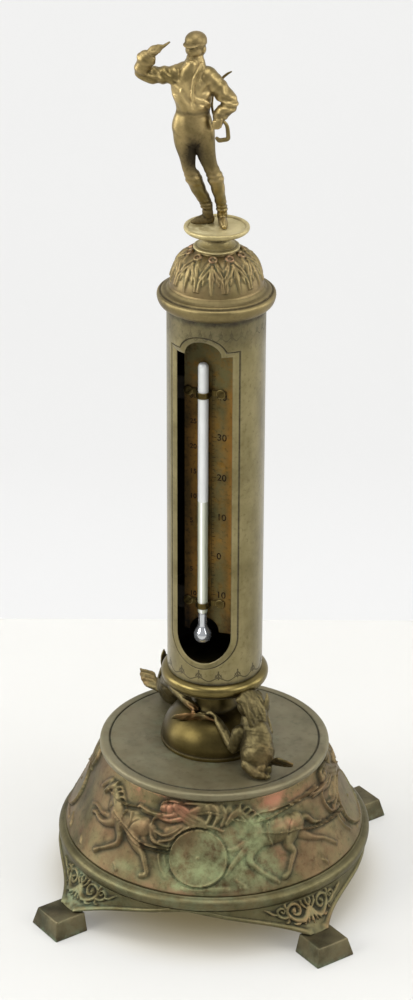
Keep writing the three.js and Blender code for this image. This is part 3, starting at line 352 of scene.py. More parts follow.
def limb(stations, size: float = 1.0, rows: int = 40, sides: int = 28, across=(0.0, 1.0, 0.0)) -> Surface:
    """A round-ended limb: an oval carried along the smooth curve through stations.

    A station is x, y, z, side radius and, if it differs, depth radius. A point of the section is
    centre + side * a * cos(t) + depth * b * sin(t); past each end the section shrinks on a quarter circle.

    Args:
        stations: The stations, in shares of size.
        size: What a share of 1 is, in millimetres.
        rows: Number of sections between the ends.
        sides: Points of a section.
        across: The direction that the side axis is square to.
    Returns:
        A closed surface.
    """
    table = np.array([[*s[:4], s[4] if len(s) > 4 else s[3]] for s in stations], float) * size
    line = through(table, rows)
    centre, wide, deep = line[:, :3], np.abs(line[:, 3]), np.abs(line[:, 4])
    along = unit(np.gradient(centre, axis=0))
    turn = np.radians([80, 60, 40, 20])
    ends = []
    for row, sign, order in ((0, -1, turn), (-1, 1, turn[::-1])):
        reach = min(wide[row], deep[row])
        ends.append((
            centre[row] + sign * along[row] * reach * np.sin(order)[:, None],
            np.repeat(along[row][None], 4, axis=0), wide[row] * np.cos(order), deep[row] * np.cos(order),
        ))
    middle = (centre, along, wide, deep)
    centre, along, wide, deep = (np.concatenate([ends[0][k], middle[k], ends[1][k]]) for k in range(4))
    side = unit(np.cross(np.asarray(across, float), along))
    depth = np.cross(along, side)
    t = circle(sides)
    loops = (
        centre[:, None]
        + side[:, None] * (wide[:, None] * np.cos(t))[..., None]
        + depth[:, None] * (deep[:, None] * np.sin(t))[..., None]
    )
    return loft(loops)


def egg(centre: Array, radii: Array, size: float, steps: int = 28) -> Surface:
    """An egg with three radii about a centre, in shares of size: its loops are circles of latitude."""
    lat = np.radians(np.linspace(-86, 86, steps // 2))[:, None]
    lon = circle(steps)[None]
    x = np.cos(lat) * np.cos(lon) * radii[0]
    y = np.cos(lat) * np.sin(lon) * radii[1]
    z = np.sin(lat) * np.ones_like(lon) * radii[2]
    return loft(np.stack([x + centre[0], y + centre[1], z + centre[2]], axis=-1) * size)


def rounded_square(half: float, corner: float, sides: int = 12) -> Array:
    """A square's outline with quarter-circle corners, as (n, 2) points anticlockwise."""
    t = np.linspace(0, math.pi / 2, sides)
    quarter = np.stack([np.cos(t), np.sin(t)], axis=1) * corner + (half - corner)
    turns = [np.array([[math.cos(a), -math.sin(a)],
                       [math.sin(a), math.cos(a)]]) for a in np.arange(4) * math.pi / 2]
    return np.concatenate([quarter @ m.T for m in turns])


# Relief


@dataclass
class Relief:
    """Heights raised on a sheet whose points lie at (x, y), all in millimetres."""

    x: Array
    y: Array
    height: Array = None

    def __post_init__(self) -> None:
        """Starts with a flat sheet."""
        self.height = np.zeros_like(self.x, dtype=float)

    def nearest(self, a: Array, b: Array) -> tuple:
        """Where on the stretch from a to b each point is nearest, from 0 to 1, and how far away it is."""
        span = b - a
        t = held(((self.x - a[0]) * span[0] + (self.y - a[1]) * span[1]) / max(float(span @ span), 1e-9))
        return t, np.hypot(self.x - a[0] - t * span[0], self.y - a[1] - t * span[1])

    def stroke(self, path, widths, rise: float, blend: float = 0.35) -> "Relief":
        """Raises a tapering rounded stroke along a path.

        A point's height is rise * sqrt(1 - (d / w)^2), where d is its distance to the nearest stretch of
        the path and w the half width there; where strokes cross, the higher one wins.

        Args:
            path: (m, 2) points.
            widths: The half width at each point, or one for all.
            rise: Height of the ridge.
            blend: Share of the rise that widening adds, so that wide parts stand higher.
        Returns:
            This relief.
        """
        p = np.asarray(path, float)
        w = np.broadcast_to(np.asarray(widths, float), len(p)).copy()
        top = w.max()
        best = np.full(self.x.shape, -1.0)
        for (a, b), (wa, wb) in zip(zip(p[:-1], p[1:]), zip(w[:-1], w[1:])):
            t, gap = self.nearest(a, b)
            half = wa + (wb - wa) * t
            raised = np.sqrt(held(1 - (gap / np.maximum(half, 1e-6)) ** 2))
            best = np.maximum(best, raised * (1 - blend + blend * half / top))
        self.height = np.maximum(self.height, rise * held(best))
        return self

    def sweep(self, path, widths, rise: float, blend: float = 0.35, least: float = 0.0) -> "Relief":
        """Raises a stroke on the smooth curve through a path's points, no thinner than least."""
        count = 5 * len(path)
        half = through(np.array(widths, float)[:, None], count)[:, 0]
        return self.stroke(through(np.array(path), count), np.maximum(half, least), rise, blend)

    def ring(self, centre, radius: float, half: float, rise: float) -> "Relief":
        """Raises a round ring whose ridge lies at a radius from a centre."""
        gap = np.abs(np.hypot(self.x - centre[0], self.y - centre[1]) - radius)
        self.height = np.maximum(self.height, rise * np.sqrt(held(1 - (gap / half) ** 2)))
        return self

    def disc(self, centre, radius: float, rise: float, crown: float = 0.0, edge: float = 0.4) -> "Relief":
        """Raises a flat disc with a soft edge and a crown that falls off as the square of the radius."""
        away = np.hypot(self.x - centre[0], self.y - centre[1])
        body = smooth_steps(-away, -radius, -radius + edge) * (rise + crown * held(1 - (away / radius) ** 2))
        self.height = np.maximum(self.height, body)
        return self

    def cut(self, path, half: float, depth: float) -> "Relief":
        """Sinks a line along a path: depth * (1 - d / half) where the path is nearer than half."""
        p = np.asarray(path, float)
        near = np.full(self.x.shape, 1e9)
        for a, b in zip(p[:-1], p[1:]):
            near = np.minimum(near, self.nearest(a, b)[1])
        self.height = self.height - depth * held(1 - near / half)
        return self


def blurred(values: Array, reach: tuple, wrap: bool = True) -> Array:
    """Averages a grid over a box of 2 * reach + 1 cells each way, twice, wrapping round its first axis."""
    out = values.astype(float)
    for _ in range(2):
        for axis, r in enumerate(reach):
            if r < 1:
                continue
            mode = "wrap" if axis == 0 and wrap else "edge"
            pad = [(0, 0), (0, 0)]
            pad[axis] = (r + 1, r)
            total = np.cumsum(np.pad(out, pad, mode=mode), axis=axis)
            low = np.take(total, np.arange(out.shape[axis]), axis=axis)
            high = np.take(total, np.arange(out.shape[axis]) + 2 * r + 1, axis=axis)
            out = (high - low) / (2 * r + 1)
    return out


def relief_marks(height: Array, reach: tuple, depth: float) -> dict:
    """Grime where a relief lies below its surroundings' average and wear where it stands above it."""
    low = blurred(height, reach) - height
    return {"grime": held(low / depth), "wear": held(-low / depth)}


# Sculpted figures


def melted(surface: Surface, voxel: float) -> Surface:
    """Runs overlapping closed surfaces together into one skin.

    Args:
        surface: The limbs, side by side.
        voxel: Edge of the cells of the new skin, in millimetres.
    Returns:
        One closed surface of near-even quads.
    """
    source = bare_object("melting", surface)
    change = source.modifiers.new("skin", "REMESH")
    change.mode = "VOXEL"
    change.voxel_size = voxel * MM
    change.adaptivity = 0
    skin = evaluated(source)
    points = places_of(skin) / MM
    starts, corners = np.empty(len(skin.polygons), int), np.empty(len(skin.loops), int)
    skin.polygons.foreach_get("loop_start", starts)
    skin.loops.foreach_get("vertex_index", corners)
    sizes = np.diff(np.append(starts, len(corners)))
    faces = [corners[starts[sizes == n][:, None] + np.arange(n)] for n in (3, 4) if (sizes == n).any()]
    bpy.data.meshes.remove(skin)
    old = source.data
    bpy.data.objects.remove(source)
    bpy.data.meshes.remove(old)
    return Surface(points, faces, [0] * len(faces))


def edges_of(surface: Surface) -> Array:
    """Each side of each face once, as (m, 2) point numbers."""
    rows = [np.stack([f[:, k], np.roll(f, -1, axis=1)[:, k]],
                     axis=1) for f in surface.faces for k in range(f.shape[1])]
    return np.unique(np.sort(np.concatenate(rows), axis=1), axis=0)


def eased(values: Array, edges: Array, rounds: int, share: float = 0.6) -> Array:
    """Moves each point's numbers a share of the way to its neighbours' mean, some rounds over."""
    out = np.array(values, float).reshape(len(values), -1)
    both = np.concatenate([edges, edges[:, ::-1]])
    count = np.bincount(both[:, 0], minlength=len(out))
    for _ in range(rounds):
        mean = np.stack([np.bincount(both[:, 0], out[both[:, 1], k], len(out)) for k in range(out.shape[1])],
                        axis=1)
        out += share * (mean / np.maximum(count, 1)[:, None] - out)
    return out.reshape(np.shape(values))


def sculpted(limbs: list, voxel: float, shape, deep: float = 0.3, spread: int = 14) -> Surface:
    """Melts limbs together, eases the joins, presses folds into them and marks hollows and ridges.

    Args:
        limbs: Closed overlapping surfaces.
        voxel: Edge of the skin's cells, in millimetres.
        shape: Gives how far each point moves along its normal, from the (n, 3) points.
        deep: How far below its surroundings a hollow is all grime, in millimetres.
        spread: Rounds of averaging that give a point's surroundings.
    Returns:
        One closed surface with the marks grime and wear.
    """
    skin = melted(combined(*limbs), voxel)
    edges = edges_of(skin)
    skin.points = eased(skin.points, edges, 1)
    skin.points = skin.points + skin.normals() * shape(skin.points)[:, None]
    around = eased(skin.points, edges, spread)
    low = np.einsum("ij,ij->i", around - skin.points, skin.normals())
    low = eased(low, edges, 1)
    skin.marks = {"grime": held(low / deep), "wear": held(-low / deep)}
    return skin.facing_out()


def ripple(points: Array, centre, axis, wave: float, rise: float, reach: float) -> Array:
    """Cloth folds round a place: rise * sin(2 pi d / wave) along an axis, dying away over reach."""
    away = points - np.asarray(centre, float)
    axis = np.asarray(axis, float) / np.linalg.norm(axis)
    along = away @ axis
    bend = np.sin(2 * math.pi * along / wave + 1.2 * np.sin(away[:, 2] / wave * 1.7))
    return rise * bend * np.exp(-((away**2).sum(1) / reach**2))


# Meshes


def linked(name: str, data) -> bpy.types.Object:
    """Puts an object with some data into the scene."""
    made = bpy.data.objects.new(name, data)
    bpy.context.scene.collection.objects.link(made)
    return made


def evaluated(made: bpy.types.Object) -> bpy.types.Mesh:
    """A new mesh of an object as its modifiers or its lettering leave it."""
    return bpy.data.meshes.new_from_object(made.evaluated_get(bpy.context.evaluated_depsgraph_get()))


def places_of(mesh: bpy.types.Mesh) -> Array:
    """A mesh's points as (n, 3), in metres."""
    flat = np.empty(len(mesh.vertices) * 3)
    mesh.vertices.foreach_get("co", flat)
    return flat.reshape(-1, 3)


def bare_object(name: str, surface: Surface) -> bpy.types.Object:
    """Makes a mesh object of a surface, in metres, with its marks as attributes.

    Args:
        name: Name of the object and its mesh.
        surface: The surface.
    Returns:
        The object, linked to the scene.
    """
    mesh = bpy.data.meshes.new(name)
    sizes = np.concatenate([np.full(len(f), f.shape[1]) for f in surface.faces])
    corners = np.concatenate([f.ravel() for f in surface.faces]).astype(np.int32)
    mesh.vertices.add(len(surface.points))
    mesh.vertices.foreach_set("co", (surface.points * MM).astype(np.float32).ravel())
    mesh.loops.add(len(corners))
    mesh.loops.foreach_set("vertex_index", corners)
    mesh.polygons.add(len(sizes))
    mesh.polygons.foreach_set("loop_start", np.concatenate([[0], np.cumsum(sizes)[:-1]]).astype(np.int32))
    if surface.coats:
        coat = np.concatenate([np.full(len(f), c) for f, c in zip(surface.faces, surface.coats)])
        mesh.polygons.foreach_set("material_index", coat.astype(np.int32))
    for name_, values in surface.marks.items():
        mesh.attributes.new(name_, "FLOAT", "POINT").data.foreach_set("value", values.astype(np.float32))
    mesh.update(calc_edges=True)
    mesh.validate()
    return linked(name, mesh)


def piece(
    name: str, surface: Surface, finishes: list, body: Body, nodes: tuple = (), sharp: float = 60.0
) -> bpy.types.Object:
    """Makes one finished piece of the object.

    Args:
        name: The piece's name.
        surface: Its surface, in its place.
        finishes: Its materials, in the order of the surface's coats.
        body: What it rides on.
        nodes: The CAD nodes that it stands for.
        sharp: Edges that bend more than this many degrees stay sharp.
    Returns:
        The object.
    """
    made = bare_object(name, surface)
    work = bmesh.new()
    work.from_mesh(made.data)
    bmesh.ops.remove_doubles(work, verts=work.verts, dist=2e-7)
    work.to_mesh(made.data)
    work.free()
    made.data.polygons.foreach_set("use_smooth", np.ones(len(made.data.polygons), bool))
    made.data.set_sharp_from_angle(angle=math.radians(sharp))
    for finish in finishes:
        made.data.materials.append(finish)
    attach(made, body.value)
    if nodes:
        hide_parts(*nodes)
    log.info("%s: %d faces on %s", name, len(made.data.polygons), body.value)
    return made


# Finishes


def tone(code: str, share: float = 1.0) -> tuple:
    """A colour written as six hex digits, as a screen shows it, in linear light, times share."""
    values = [int(code[k : k + 2], 16) / 255 for k in (0, 2, 4)]
    linear = [v / 12.92 if v <= 0.04045 else ((v + 0.055) / 1.055) ** 2.4 for v in values]
    return (*[v * share for v in linear], 1.0)


class Bench:
    """Lays out the nodes of one material, or of the world."""

    def __init__(self, name: str, shelf=bpy.data.materials) -> None:
        """Starts an empty node tree on the shelf of materials or worlds."""
        self.material = shelf.new(name)
        self.material.use_nodes = True
        self.tree = self.material.node_tree
        self.tree.nodes.clear()

    def add(self, kind: str, inputs: dict | None = None, **settings) -> bpy.types.Node:
        """Adds a node, sets it up and fills its inputs with links or values.

        Args:
            kind: Blender's name of the node type.
            inputs: Socket names or numbers, each with a socket to link or a value to set.
            settings: The node's own properties.
        Returns:
            The node.
        """
        node = self.tree.nodes.new(kind)
        for key, value in settings.items():
            setattr(node, key, value)
        for key, value in (inputs or {}).items():
            if isinstance(value, bpy.types.NodeSocket):
                self.tree.links.new(value, node.inputs[key])
            else:
                node.inputs[key].default_value = value
        return node

    def math(self, operation: str, *values, clamp: bool = False) -> bpy.types.NodeSocket:
        """A Math node's result."""
        return self.add("ShaderNodeMath", dict(enumerate(values)), operation=operation,
                        use_clamp=clamp).outputs[0]

    def times(self, first, second, clamp: bool = False) -> bpy.types.NodeSocket:
        """Multiplies two numbers."""
        return self.math("MULTIPLY", first, second, clamp=clamp)

    def scaled(self, value, factor, plus) -> bpy.types.NodeSocket:
        """Multiplies a number by a factor, then adds to it."""
        return self.math("MULTIPLY_ADD", value, factor, plus)

    def apart(self, first, second) -> bpy.types.NodeSocket:
        """How far apart two numbers are."""
        return self.math("ABSOLUTE", self.math("SUBTRACT", first, second))

    def mix(self, share, first, second) -> bpy.types.NodeSocket:
        """Blends two colours by a share from 0 to 1."""
        return self.add("ShaderNodeMix", {0: share, 6: first, 7: second}, data_type="RGBA").outputs[2]

    def blend(self, share, first, second) -> bpy.types.NodeSocket:
        """Blends two numbers by a share from 0 to 1."""
        return self.add("ShaderNodeMix", {0: share, 2: first, 3: second}, data_type="FLOAT").outputs[0]

    def step(self, value, low: float, high: float) -> bpy.types.NodeSocket:
        """Runs smoothly from 0 at low to 1 at high."""
        inputs = {"Value": value, "From Min": low, "From Max": high}
        return self.add("ShaderNodeMapRange", inputs, interpolation_type="SMOOTHSTEP").outputs[0]

    def mark(self, name: str) -> bpy.types.NodeSocket:
        """The number that a surface carries under a name, 0 where it has none."""
        return self.add("ShaderNodeAttribute", attribute_name=name).outputs["Fac"]

    def place(self) -> bpy.types.NodeSocket:
        """The point's place on the object, in metres."""
        return self.add("ShaderNodeTexCoord").outputs["Object"]

    def noise(self, scale: float, detail: float = 4.0, roughness: float = 0.55,
              place=None) -> bpy.types.NodeSocket:
        """Cloudy noise from 0 to 1 with scale features to the metre."""
        inputs = {"Vector": place or self.place(), "Scale": scale, "Detail": detail, "Roughness": roughness}
        return self.add("ShaderNodeTexNoise", inputs).outputs["Fac"]

    def stretched(self, x: float, y: float, z: float) -> bpy.types.NodeSocket:
        """The place with each axis scaled."""
        return self.add("ShaderNodeMapping", {"Vector": self.place(), "Scale": (x, y, z)}).outputs[0]

    def looked_at(self) -> bpy.types.NodeSocket:
        """1 for rays from the camera and off or through shiny surfaces, 0 for the rest."""
        path = self.add("ShaderNodeLightPath").outputs
        return self.math("MAXIMUM", self.math("MAXIMUM", path["Is Camera Ray"], path["Is Glossy Ray"]),
                         path["Is Transmission Ray"])

    def finish(self, shader: bpy.types.NodeSocket) -> bpy.types.Material:
        """Sends a shader to the output and gives the material."""
        self.add("ShaderNodeOutputMaterial", {"Surface": shader})
        return self.material

    def principled(self, inputs: dict) -> bpy.types.Material:
        """Finishes with Blender's main shader, given its inputs."""
        return self.finish(self.add("ShaderNodeBsdfPrincipled", inputs).outputs[0])


@dataclass(frozen=True)
class AgedMetal:
    """Metal with a cloudy patina, grime in its hollows, wear on its ridges and blooms of corrosion; on some
    pieces the grime and wear marks also carry painted shade and painted light.
    """

    name: str
    bright: str
    dull: str
    deep: str
    worn: str
    bloom: str = "86a585"
    blush: str = "a0705c"
    gloss: float = 0.34
    matt: float = 0.55
    clouds: float = 70.0
    specks: float = 0.35
    grime: float = 0.85
    wear: float = 0.5
    blooms: float = 0.0
    crust: tuple = (0.4, 0.66)
    blushes: float = 0.0
    pits: float = 0.12
    metal: float = 1.0
    coat: float = 0.0
    blots: float = 0.15

    def engraving(self, bench: Bench):
        """The lines cut into the metal, from 0 to 1, or None where it is plain."""
        return None

    def spread(self, bench: Bench) -> tuple:
        """Where corrosion and bare copper lie besides the marks, as two sockets or numbers from 0 to 1."""
        return 0.0, 0.0

    def build(self) -> bpy.types.Material:
        """Lays out the finish.

        Two sizes of noise mix the bright and the dull colour, with darker blots over them. The wear mark
        lightens the ridges and the grime mark darkens the hollows, broken up by noise; on some pieces these
        marks also carry painted light and painted shade. Blush and bloom lie over that where their marks and
        noise say; bloom is dull and hardly metallic. Bump adds fine pitting and the engraving.

        Returns:
            The material.
        """
        b = Bench(self.name)
        cloud = b.noise(self.clouds, 5, 0.6)
        fine = b.noise(self.clouds * 9, 4, 0.6)
        streak = b.noise(self.clouds * 2.2, 3, 0.5, b.stretched(1, 1, 0.25))
        share = b.step(b.scaled(streak, 0.45, b.times(cloud, 0.75)), 0.4, 0.8)
        colour = b.mix(share, tone(self.dull), tone(self.bright))
        speck = b.times(b.step(fine, 0.52, 0.72), self.specks)
        colour = b.mix(speck, colour, tone(self.dull, 0.72))
        blot = b.step(b.noise(self.clouds * 1.7, 6, 0.65, b.stretched(1, 1, 0.7)), 0.47, 0.68)
        colour = b.mix(b.times(blot, self.blots), colour, tone(self.deep, 1.5))
        worn = b.times(b.mark("wear"), b.step(cloud, 0.25, 0.6))
        worn = b.times(worn, self.wear, clamp=True)
        colour = b.mix(worn, colour, tone(self.worn))
        grime = b.times(b.mark("grime"), b.scaled(fine, 0.9, 0.65))
        grime = b.times(grime, self.grime, clamp=True)
        lines = self.engraving(b)
        if lines is not None:
            grime = b.math("MAXIMUM", grime, b.times(lines, 0.75))
        colour = b.mix(grime, colour, tone(self.deep))
        bloom_at, blush_at = self.spread(b)
        blush = b.math("ADD", b.mark("copper"), blush_at)
        patch = b.noise(self.clouds * 1.3, 5, 0.65)
        blush = b.times(blush, b.step(patch, 0.4, 0.62), clamp=True)
        blush = b.times(blush, self.blushes, clamp=True)
        blush = b.times(blush, b.math("SUBTRACT", 1.0, grime))
        colour = b.mix(blush, colour, tone(self.blush))
        bloom = b.math("ADD", b.mark("green"), bloom_at)
        crust = b.noise(self.clouds * 3.1, 6, 0.7)
        bloom = b.times(bloom, b.step(crust, *self.crust), clamp=True)
        bloom = b.times(bloom, self.blooms, clamp=True)
        colour = b.mix(bloom, colour, tone(self.bloom))
        rough = b.blend(b.scaled(fine, 0.5, b.times(cloud, 0.5)), self.gloss, self.matt)
        rough = b.blend(b.math("MAXIMUM", grime, bloom), rough, 0.8)
        metallic = b.times(b.math("SUBTRACT", 1.0, b.times(bloom, 0.85)), self.metal)
        metallic = b.times(metallic, b.scaled(grime, -0.35, 1.0))
        height = b.scaled(crust, b.times(bloom, 0.8), b.times(fine, 0.5))
        height = b.math("ADD", height, b.times(b.noise(self.clouds * 30, 2, 0.5), 0.25))
        if lines is not None:
            height = b.scaled(lines, -1.2, height)
        bump = b.add("ShaderNodeBump", {"Height": height, "Strength": self.pits,
                                        "Distance": 0.0004}).outputs[0]
        return b.principled({"Base Color": colour, "Metallic": metallic, "Roughness": rough, "Normal": bump,
                             "Coat Weight": self.coat, "Coat Roughness": 0.22})


@dataclass(frozen=True)
class ColumnBrass(AgedMetal):
    """The column's brass, with two engraved belts of sprigs and swags round it."""

    def belt(self, b: Bench, repeats: int, low: float, tall: float, start: float):
        """One belt: a sprig of three strokes, and swags from sprig to sprig.

        With p the angle's share between two sprigs, from -0.5 to 0.5, and h the height in the belt from
        0 to 1: a stem where |p| is small, two leaves where |h - c + k |p|| is small and |p| is less
        than a fifth, and a swag where |h - s (2p)^2 ...| is small.

        Args:
            b: The bench.
            repeats: Number of sprigs round the column.
            low: Height of the belt's lower edge, in millimetres.
            tall: The belt's height.
            start: The angle of one sprig, in degrees.
        Returns:
            The belt's lines, from 0 to 1.
        """
        split = b.add("ShaderNodeSeparateXYZ", {0: b.place()})
        angle = b.math("ARCTAN2", split.outputs[1], split.outputs[0])
        turns = b.scaled(angle, repeats / (2 * math.pi), 0.5 - start / 360 * repeats)
        p = b.math("SUBTRACT", b.math("FRACT", b.math("ADD", turns, repeats)), 0.5)
        away = b.math("ABSOLUTE", p)
        h = b.scaled(split.outputs[2], 1 / (tall * MM), -low / tall)
        h = b.math("ADD", h, b.scaled(b.noise(900, 2), 0.05, -0.025))
        thin = 0.07
        stem = b.times(b.step(away, 0.05, 0.025), b.step(b.apart(h, 0.6), 0.34, 0.28))
        leaf = b.apart(b.scaled(away, -1.9, 0.72), h)
        leaf = b.times(b.step(leaf, thin * 1.5, thin * 0.6), b.step(away, 0.2, 0.17))
        curl = b.apart(b.scaled(away, 2.4, 0.22), h)
        curl = b.times(b.step(curl, thin * 1.4, thin * 0.5), b.step(away, 0.17, 0.14))
        swag = b.scaled(b.math("COSINE", b.times(p, 2 * math.pi)), 0.14, 0.2)
        swag = b.step(b.apart(swag, h), thin, thin * 0.4)
        lines = b.math("MAXIMUM", b.math("MAXIMUM", stem, leaf), b.math("MAXIMUM", curl, swag))
        inside = b.times(b.step(h, -0.02, 0.03), b.step(h, 1.03, 0.98))
        return b.times(lines, inside)

    def engraving(self, bench: Bench):
        """The two belts, rubbed faint in places by noise."""
        high = self.belt(bench, 30, 205.9, 4.4, -99.0)
        low = self.belt(bench, 15, 83.2, 4.6, -100.0)
        rubbed = bench.step(bench.noise(60, 3), 0.3, 0.62)
        high = bench.times(high, bench.scaled(rubbed, 0.6, 0.55), clamp=True)
        return bench.math("MAXIMUM", high, low)


@dataclass(frozen=True)
class Opal:
    """White opal glass with a mercury thread in the lower part of its bore, painted as a bright white glint.
    """

    name: str
    white: str
    thread: str
    middle: float
    top: float
    half: float

    def build(self) -> bpy.types.Material:
        """Lays out the glass: the thread's painted glint shows within half of the bore's line, below top."""
        b = Bench(self.name)
        split = b.add("ShaderNodeSeparateXYZ", {0: b.place()})
        over = b.times(split.outputs[1], math.sin(WINDOW_TURN) / MM)
        local = b.scaled(split.outputs[0], math.cos(WINDOW_TURN) / MM, over)
        gap = b.apart(local, self.middle)
        near = b.step(gap, self.half * 1.3, self.half * 0.7)
        filled = b.step(b.times(split.outputs[2], 1 / MM), self.top + 0.15, self.top - 0.15)
        milk = b.noise(140, 3)
        clear = b.mix(b.step(milk, 0.3, 0.7), tone(self.white, 0.93), tone(self.white))
        backed = b.mix(b.step(gap, 0.5, 1.3), tone("d4d6c4"), tone("b4b7a2"))
        glass = b.mix(filled, clear, backed)
        # painted glint: a white line down the bore's middle below the mercury's top
        colour = b.mix(b.times(near, filled), glass, tone(self.thread))
        return b.principled({"Base Color": colour, "Roughness": 0.12, "IOR": 1.5, "Coat Weight": 0.6,
                             "Coat Roughness": 0.03})


@dataclass(frozen=True)
class Quicksilver:
    """Mercury behind thin glass: a mirror with a faint haze."""

    name: str
    silver: str

    def build(self) -> bpy.types.Material:
        """Lays out the mirror, with a slow noise in its roughness."""
        b = Bench(self.name)
        haze = b.noise(160, 3)
        rough = b.blend(haze, 0.04, 0.12)
        colour = b.mix(haze, tone(self.silver, 0.85), tone(self.silver))
        return b.principled({"Base Color": colour, "Metallic": 0.72, "Roughness": rough, "Coat Weight": 1.0,
                             "Coat Roughness": 0.02})


@dataclass(frozen=True)
class Ink:
    """Black filling of engraved numerals and lines."""

    name: str
    black: str
    faded: str

    def build(self) -> bpy.types.Material:
        """Lays out the filling, rubbed thin in places by noise."""
        b = Bench(self.name)
        colour = b.mix(b.step(b.noise(700, 4), 0.45, 0.75), tone(self.black), tone(self.faded))
        bump = b.add("ShaderNodeBump", {"Height": b.noise(3000), "Strength": 0.2,
                                        "Distance": 0.0001}).outputs[0]
        return b.principled({"Base Color": colour, "Roughness": 0.75, "Normal": bump,
                             "Specular IOR Level": 0.12})


@dataclass(frozen=True)
class Paper:
    """The studio's floor and backdrop; under is the colour of a painted shadow on the floor round the object.
    """

    name: str
    seen: str
    strength: float
    lit: float
    matt: str = "f4f4f4"
    under: str = ""

    def build(self) -> bpy.types.Material:
        """Lays out a matt surface that glows a little to the camera and is clear from behind, with a painted
        shadow in the under colour round the middle when one is given.
        """
        b = Bench(self.name)
        grain = b.mix(b.noise(14, 3), tone(self.seen, 0.985), tone(self.seen))
        matt = b.mix(b.noise(14, 3), tone(self.matt, 0.985), tone(self.matt))
        # painted shadow: the floor turns to the under colour within 30 mm of the middle, fading out by 66 mm
        if self.under:
            away = b.add("ShaderNodeVectorMath", {0: b.place()}, operation="LENGTH").outputs["Value"]
            shade = b.step(away, 0.066, 0.03)
            matt = b.mix(shade, matt, tone(self.under))
            grain = b.mix(shade, grain, tone(self.under))
        cloth = b.add("ShaderNodeBsdfDiffuse", {"Color": matt})
        glow = b.add("ShaderNodeEmission", {"Color": grain, "Strength": self.strength})
        share = b.times(b.looked_at(), self.lit)
        both = b.add("ShaderNodeMixShader", {0: share, 1: cloth.outputs[0], 2: glow.outputs[0]})
        seen = b.add("ShaderNodeLightPath").outputs["Is Camera Ray"]
        behind = b.times(b.add("ShaderNodeNewGeometry").outputs["Backfacing"], seen)
        clear = b.add("ShaderNodeBsdfTransparent").outputs[0]
        open_back = b.add("ShaderNodeMixShader", {0: behind, 1: both.outputs[0], 2: clear})
        return b.finish(open_back.outputs[0])


@dataclass
class Palette:
    """All finishes of the object, each made once."""

    made: dict = field(default_factory=dict)

    def __post_init__(self) -> None:
        """Builds every finish."""
        finishes = [
            ColumnBrass("column_brass", "8b8059", "6f653f", "332a15", "a3976d", bloom="6d6b42",
                        blush="8a6a4c", clouds=85, gloss=0.26, matt=0.42, pits=0.1, specks=0.55, blooms=0.3,
                        blushes=0.35, coat=0.35),
            AgedMetal("moulding_brass", "6c5f39", "514727", "2a2412", "a3945f", clouds=80, gloss=0.24,
                      matt=0.42, wear=0.8, pits=0.1, blooms=0.3),
            AgedMetal("bell_brass", "564b2b", "453c20", "211b0d", "8d7c48", clouds=90, gloss=0.27, matt=0.46,
                      wear=0.6, pits=0.1, blooms=0.3),
            AgedMetal("rider_bronze", "97845a", "6c5f3a", "2f2613", "c4ad79", bloom="6d6a35", clouds=130,
                      gloss=0.3, matt=0.52, wear=0.8, grime=1.0, blooms=0.7, pits=0.14, specks=0.5),
            AgedMetal("saucer_bronze", "b9ab7a", "97895c", "3b321c", "c6b88c", bloom="c6be98", clouds=100,
                      gloss=0.36, matt=0.54, wear=0.6, grime=0.9, blooms=0.9, pits=0.12, metal=0.65),
            AgedMetal("disc_bronze", "777058", "655d44", "2d2716", "8c805c", clouds=45, blots=0.25, gloss=0.4,
                      matt=0.58, wear=0.4, specks=0.5, pits=0.1, blooms=0.35, metal=0.6),
            AgedMetal("plinth_bronze", "6b6549", "565036", "25200f", "7f7350", blush="8c6c4c", clouds=60,
                      blots=0.4, gloss=0.4, matt=0.58, wear=0.4, specks=0.5, pits=0.16, blooms=0.35,
                      blushes=0.5),
            AgedMetal("foot_bronze", "524c3b", "403b2b", "211d14", "857a5c", clouds=75, gloss=0.4, matt=0.62,
                      wear=0.6, specks=0.6, pits=0.22, blooms=0.4),
            AgedMetal("frieze_bronze", "6e6043", "4b402a", "241c0f", "90805c", bloom="889366", blush="96644f",
                      clouds=65, blots=0.7, gloss=0.34, matt=0.58, wear=0.3, specks=0.9, grime=0.78,
                      blooms=0.9, blushes=1.0, pits=0.3, crust=(0.25, 0.72)),
            AgedMetal("scale_brass", "8f692c", "463d1c", "1d150a", "a07c3c", bloom="5f5a30", blush="8c5e26",
                      clouds=95, gloss=0.36, matt=0.6, specks=0.8, pits=0.12, metal=0.85, blooms=0.85,
                      blushes=0.8, crust=(0.3, 0.6)),
            # tarnished brass darkened to near black as painted shade inside the tube; the scale bands take it
            # too
            AgedMetal("bore_tarnish_and_shade", "221d12", "151109", "070503", "3a3220", clouds=80, gloss=0.6, matt=0.85,
                      wear=0.1, metal=0.3),
            AgedMetal("dark_iron", "5c5a55", "3f3c36", "1b1916", "8a8780", clouds=120, gloss=0.35, matt=0.6,
                      pits=0.2, blush="6a4a34", blushes=0.6),
            AgedMetal("clip_brass", "63552f", "40361d", "231c0e", "a3905f", clouds=150, gloss=0.35, matt=0.55,
                      wear=0.7),
            # the thread's colour is a painted glint, brighter than the glass
            Opal("opal_glass", "e3e5e2", "fdfdfd", -2.35, 145.4, 0.3),
            Quicksilver("quicksilver", "c9cbce"),
            Ink("numeral_black", "1c150c", "4a3a20"),
        ]
        self.made = {f.name: f.build() for f in finishes}

    def __getitem__(self, name: str) -> bpy.types.Material:
        """The finish of that name."""
        return self.made[name]


# Sub-assemblies


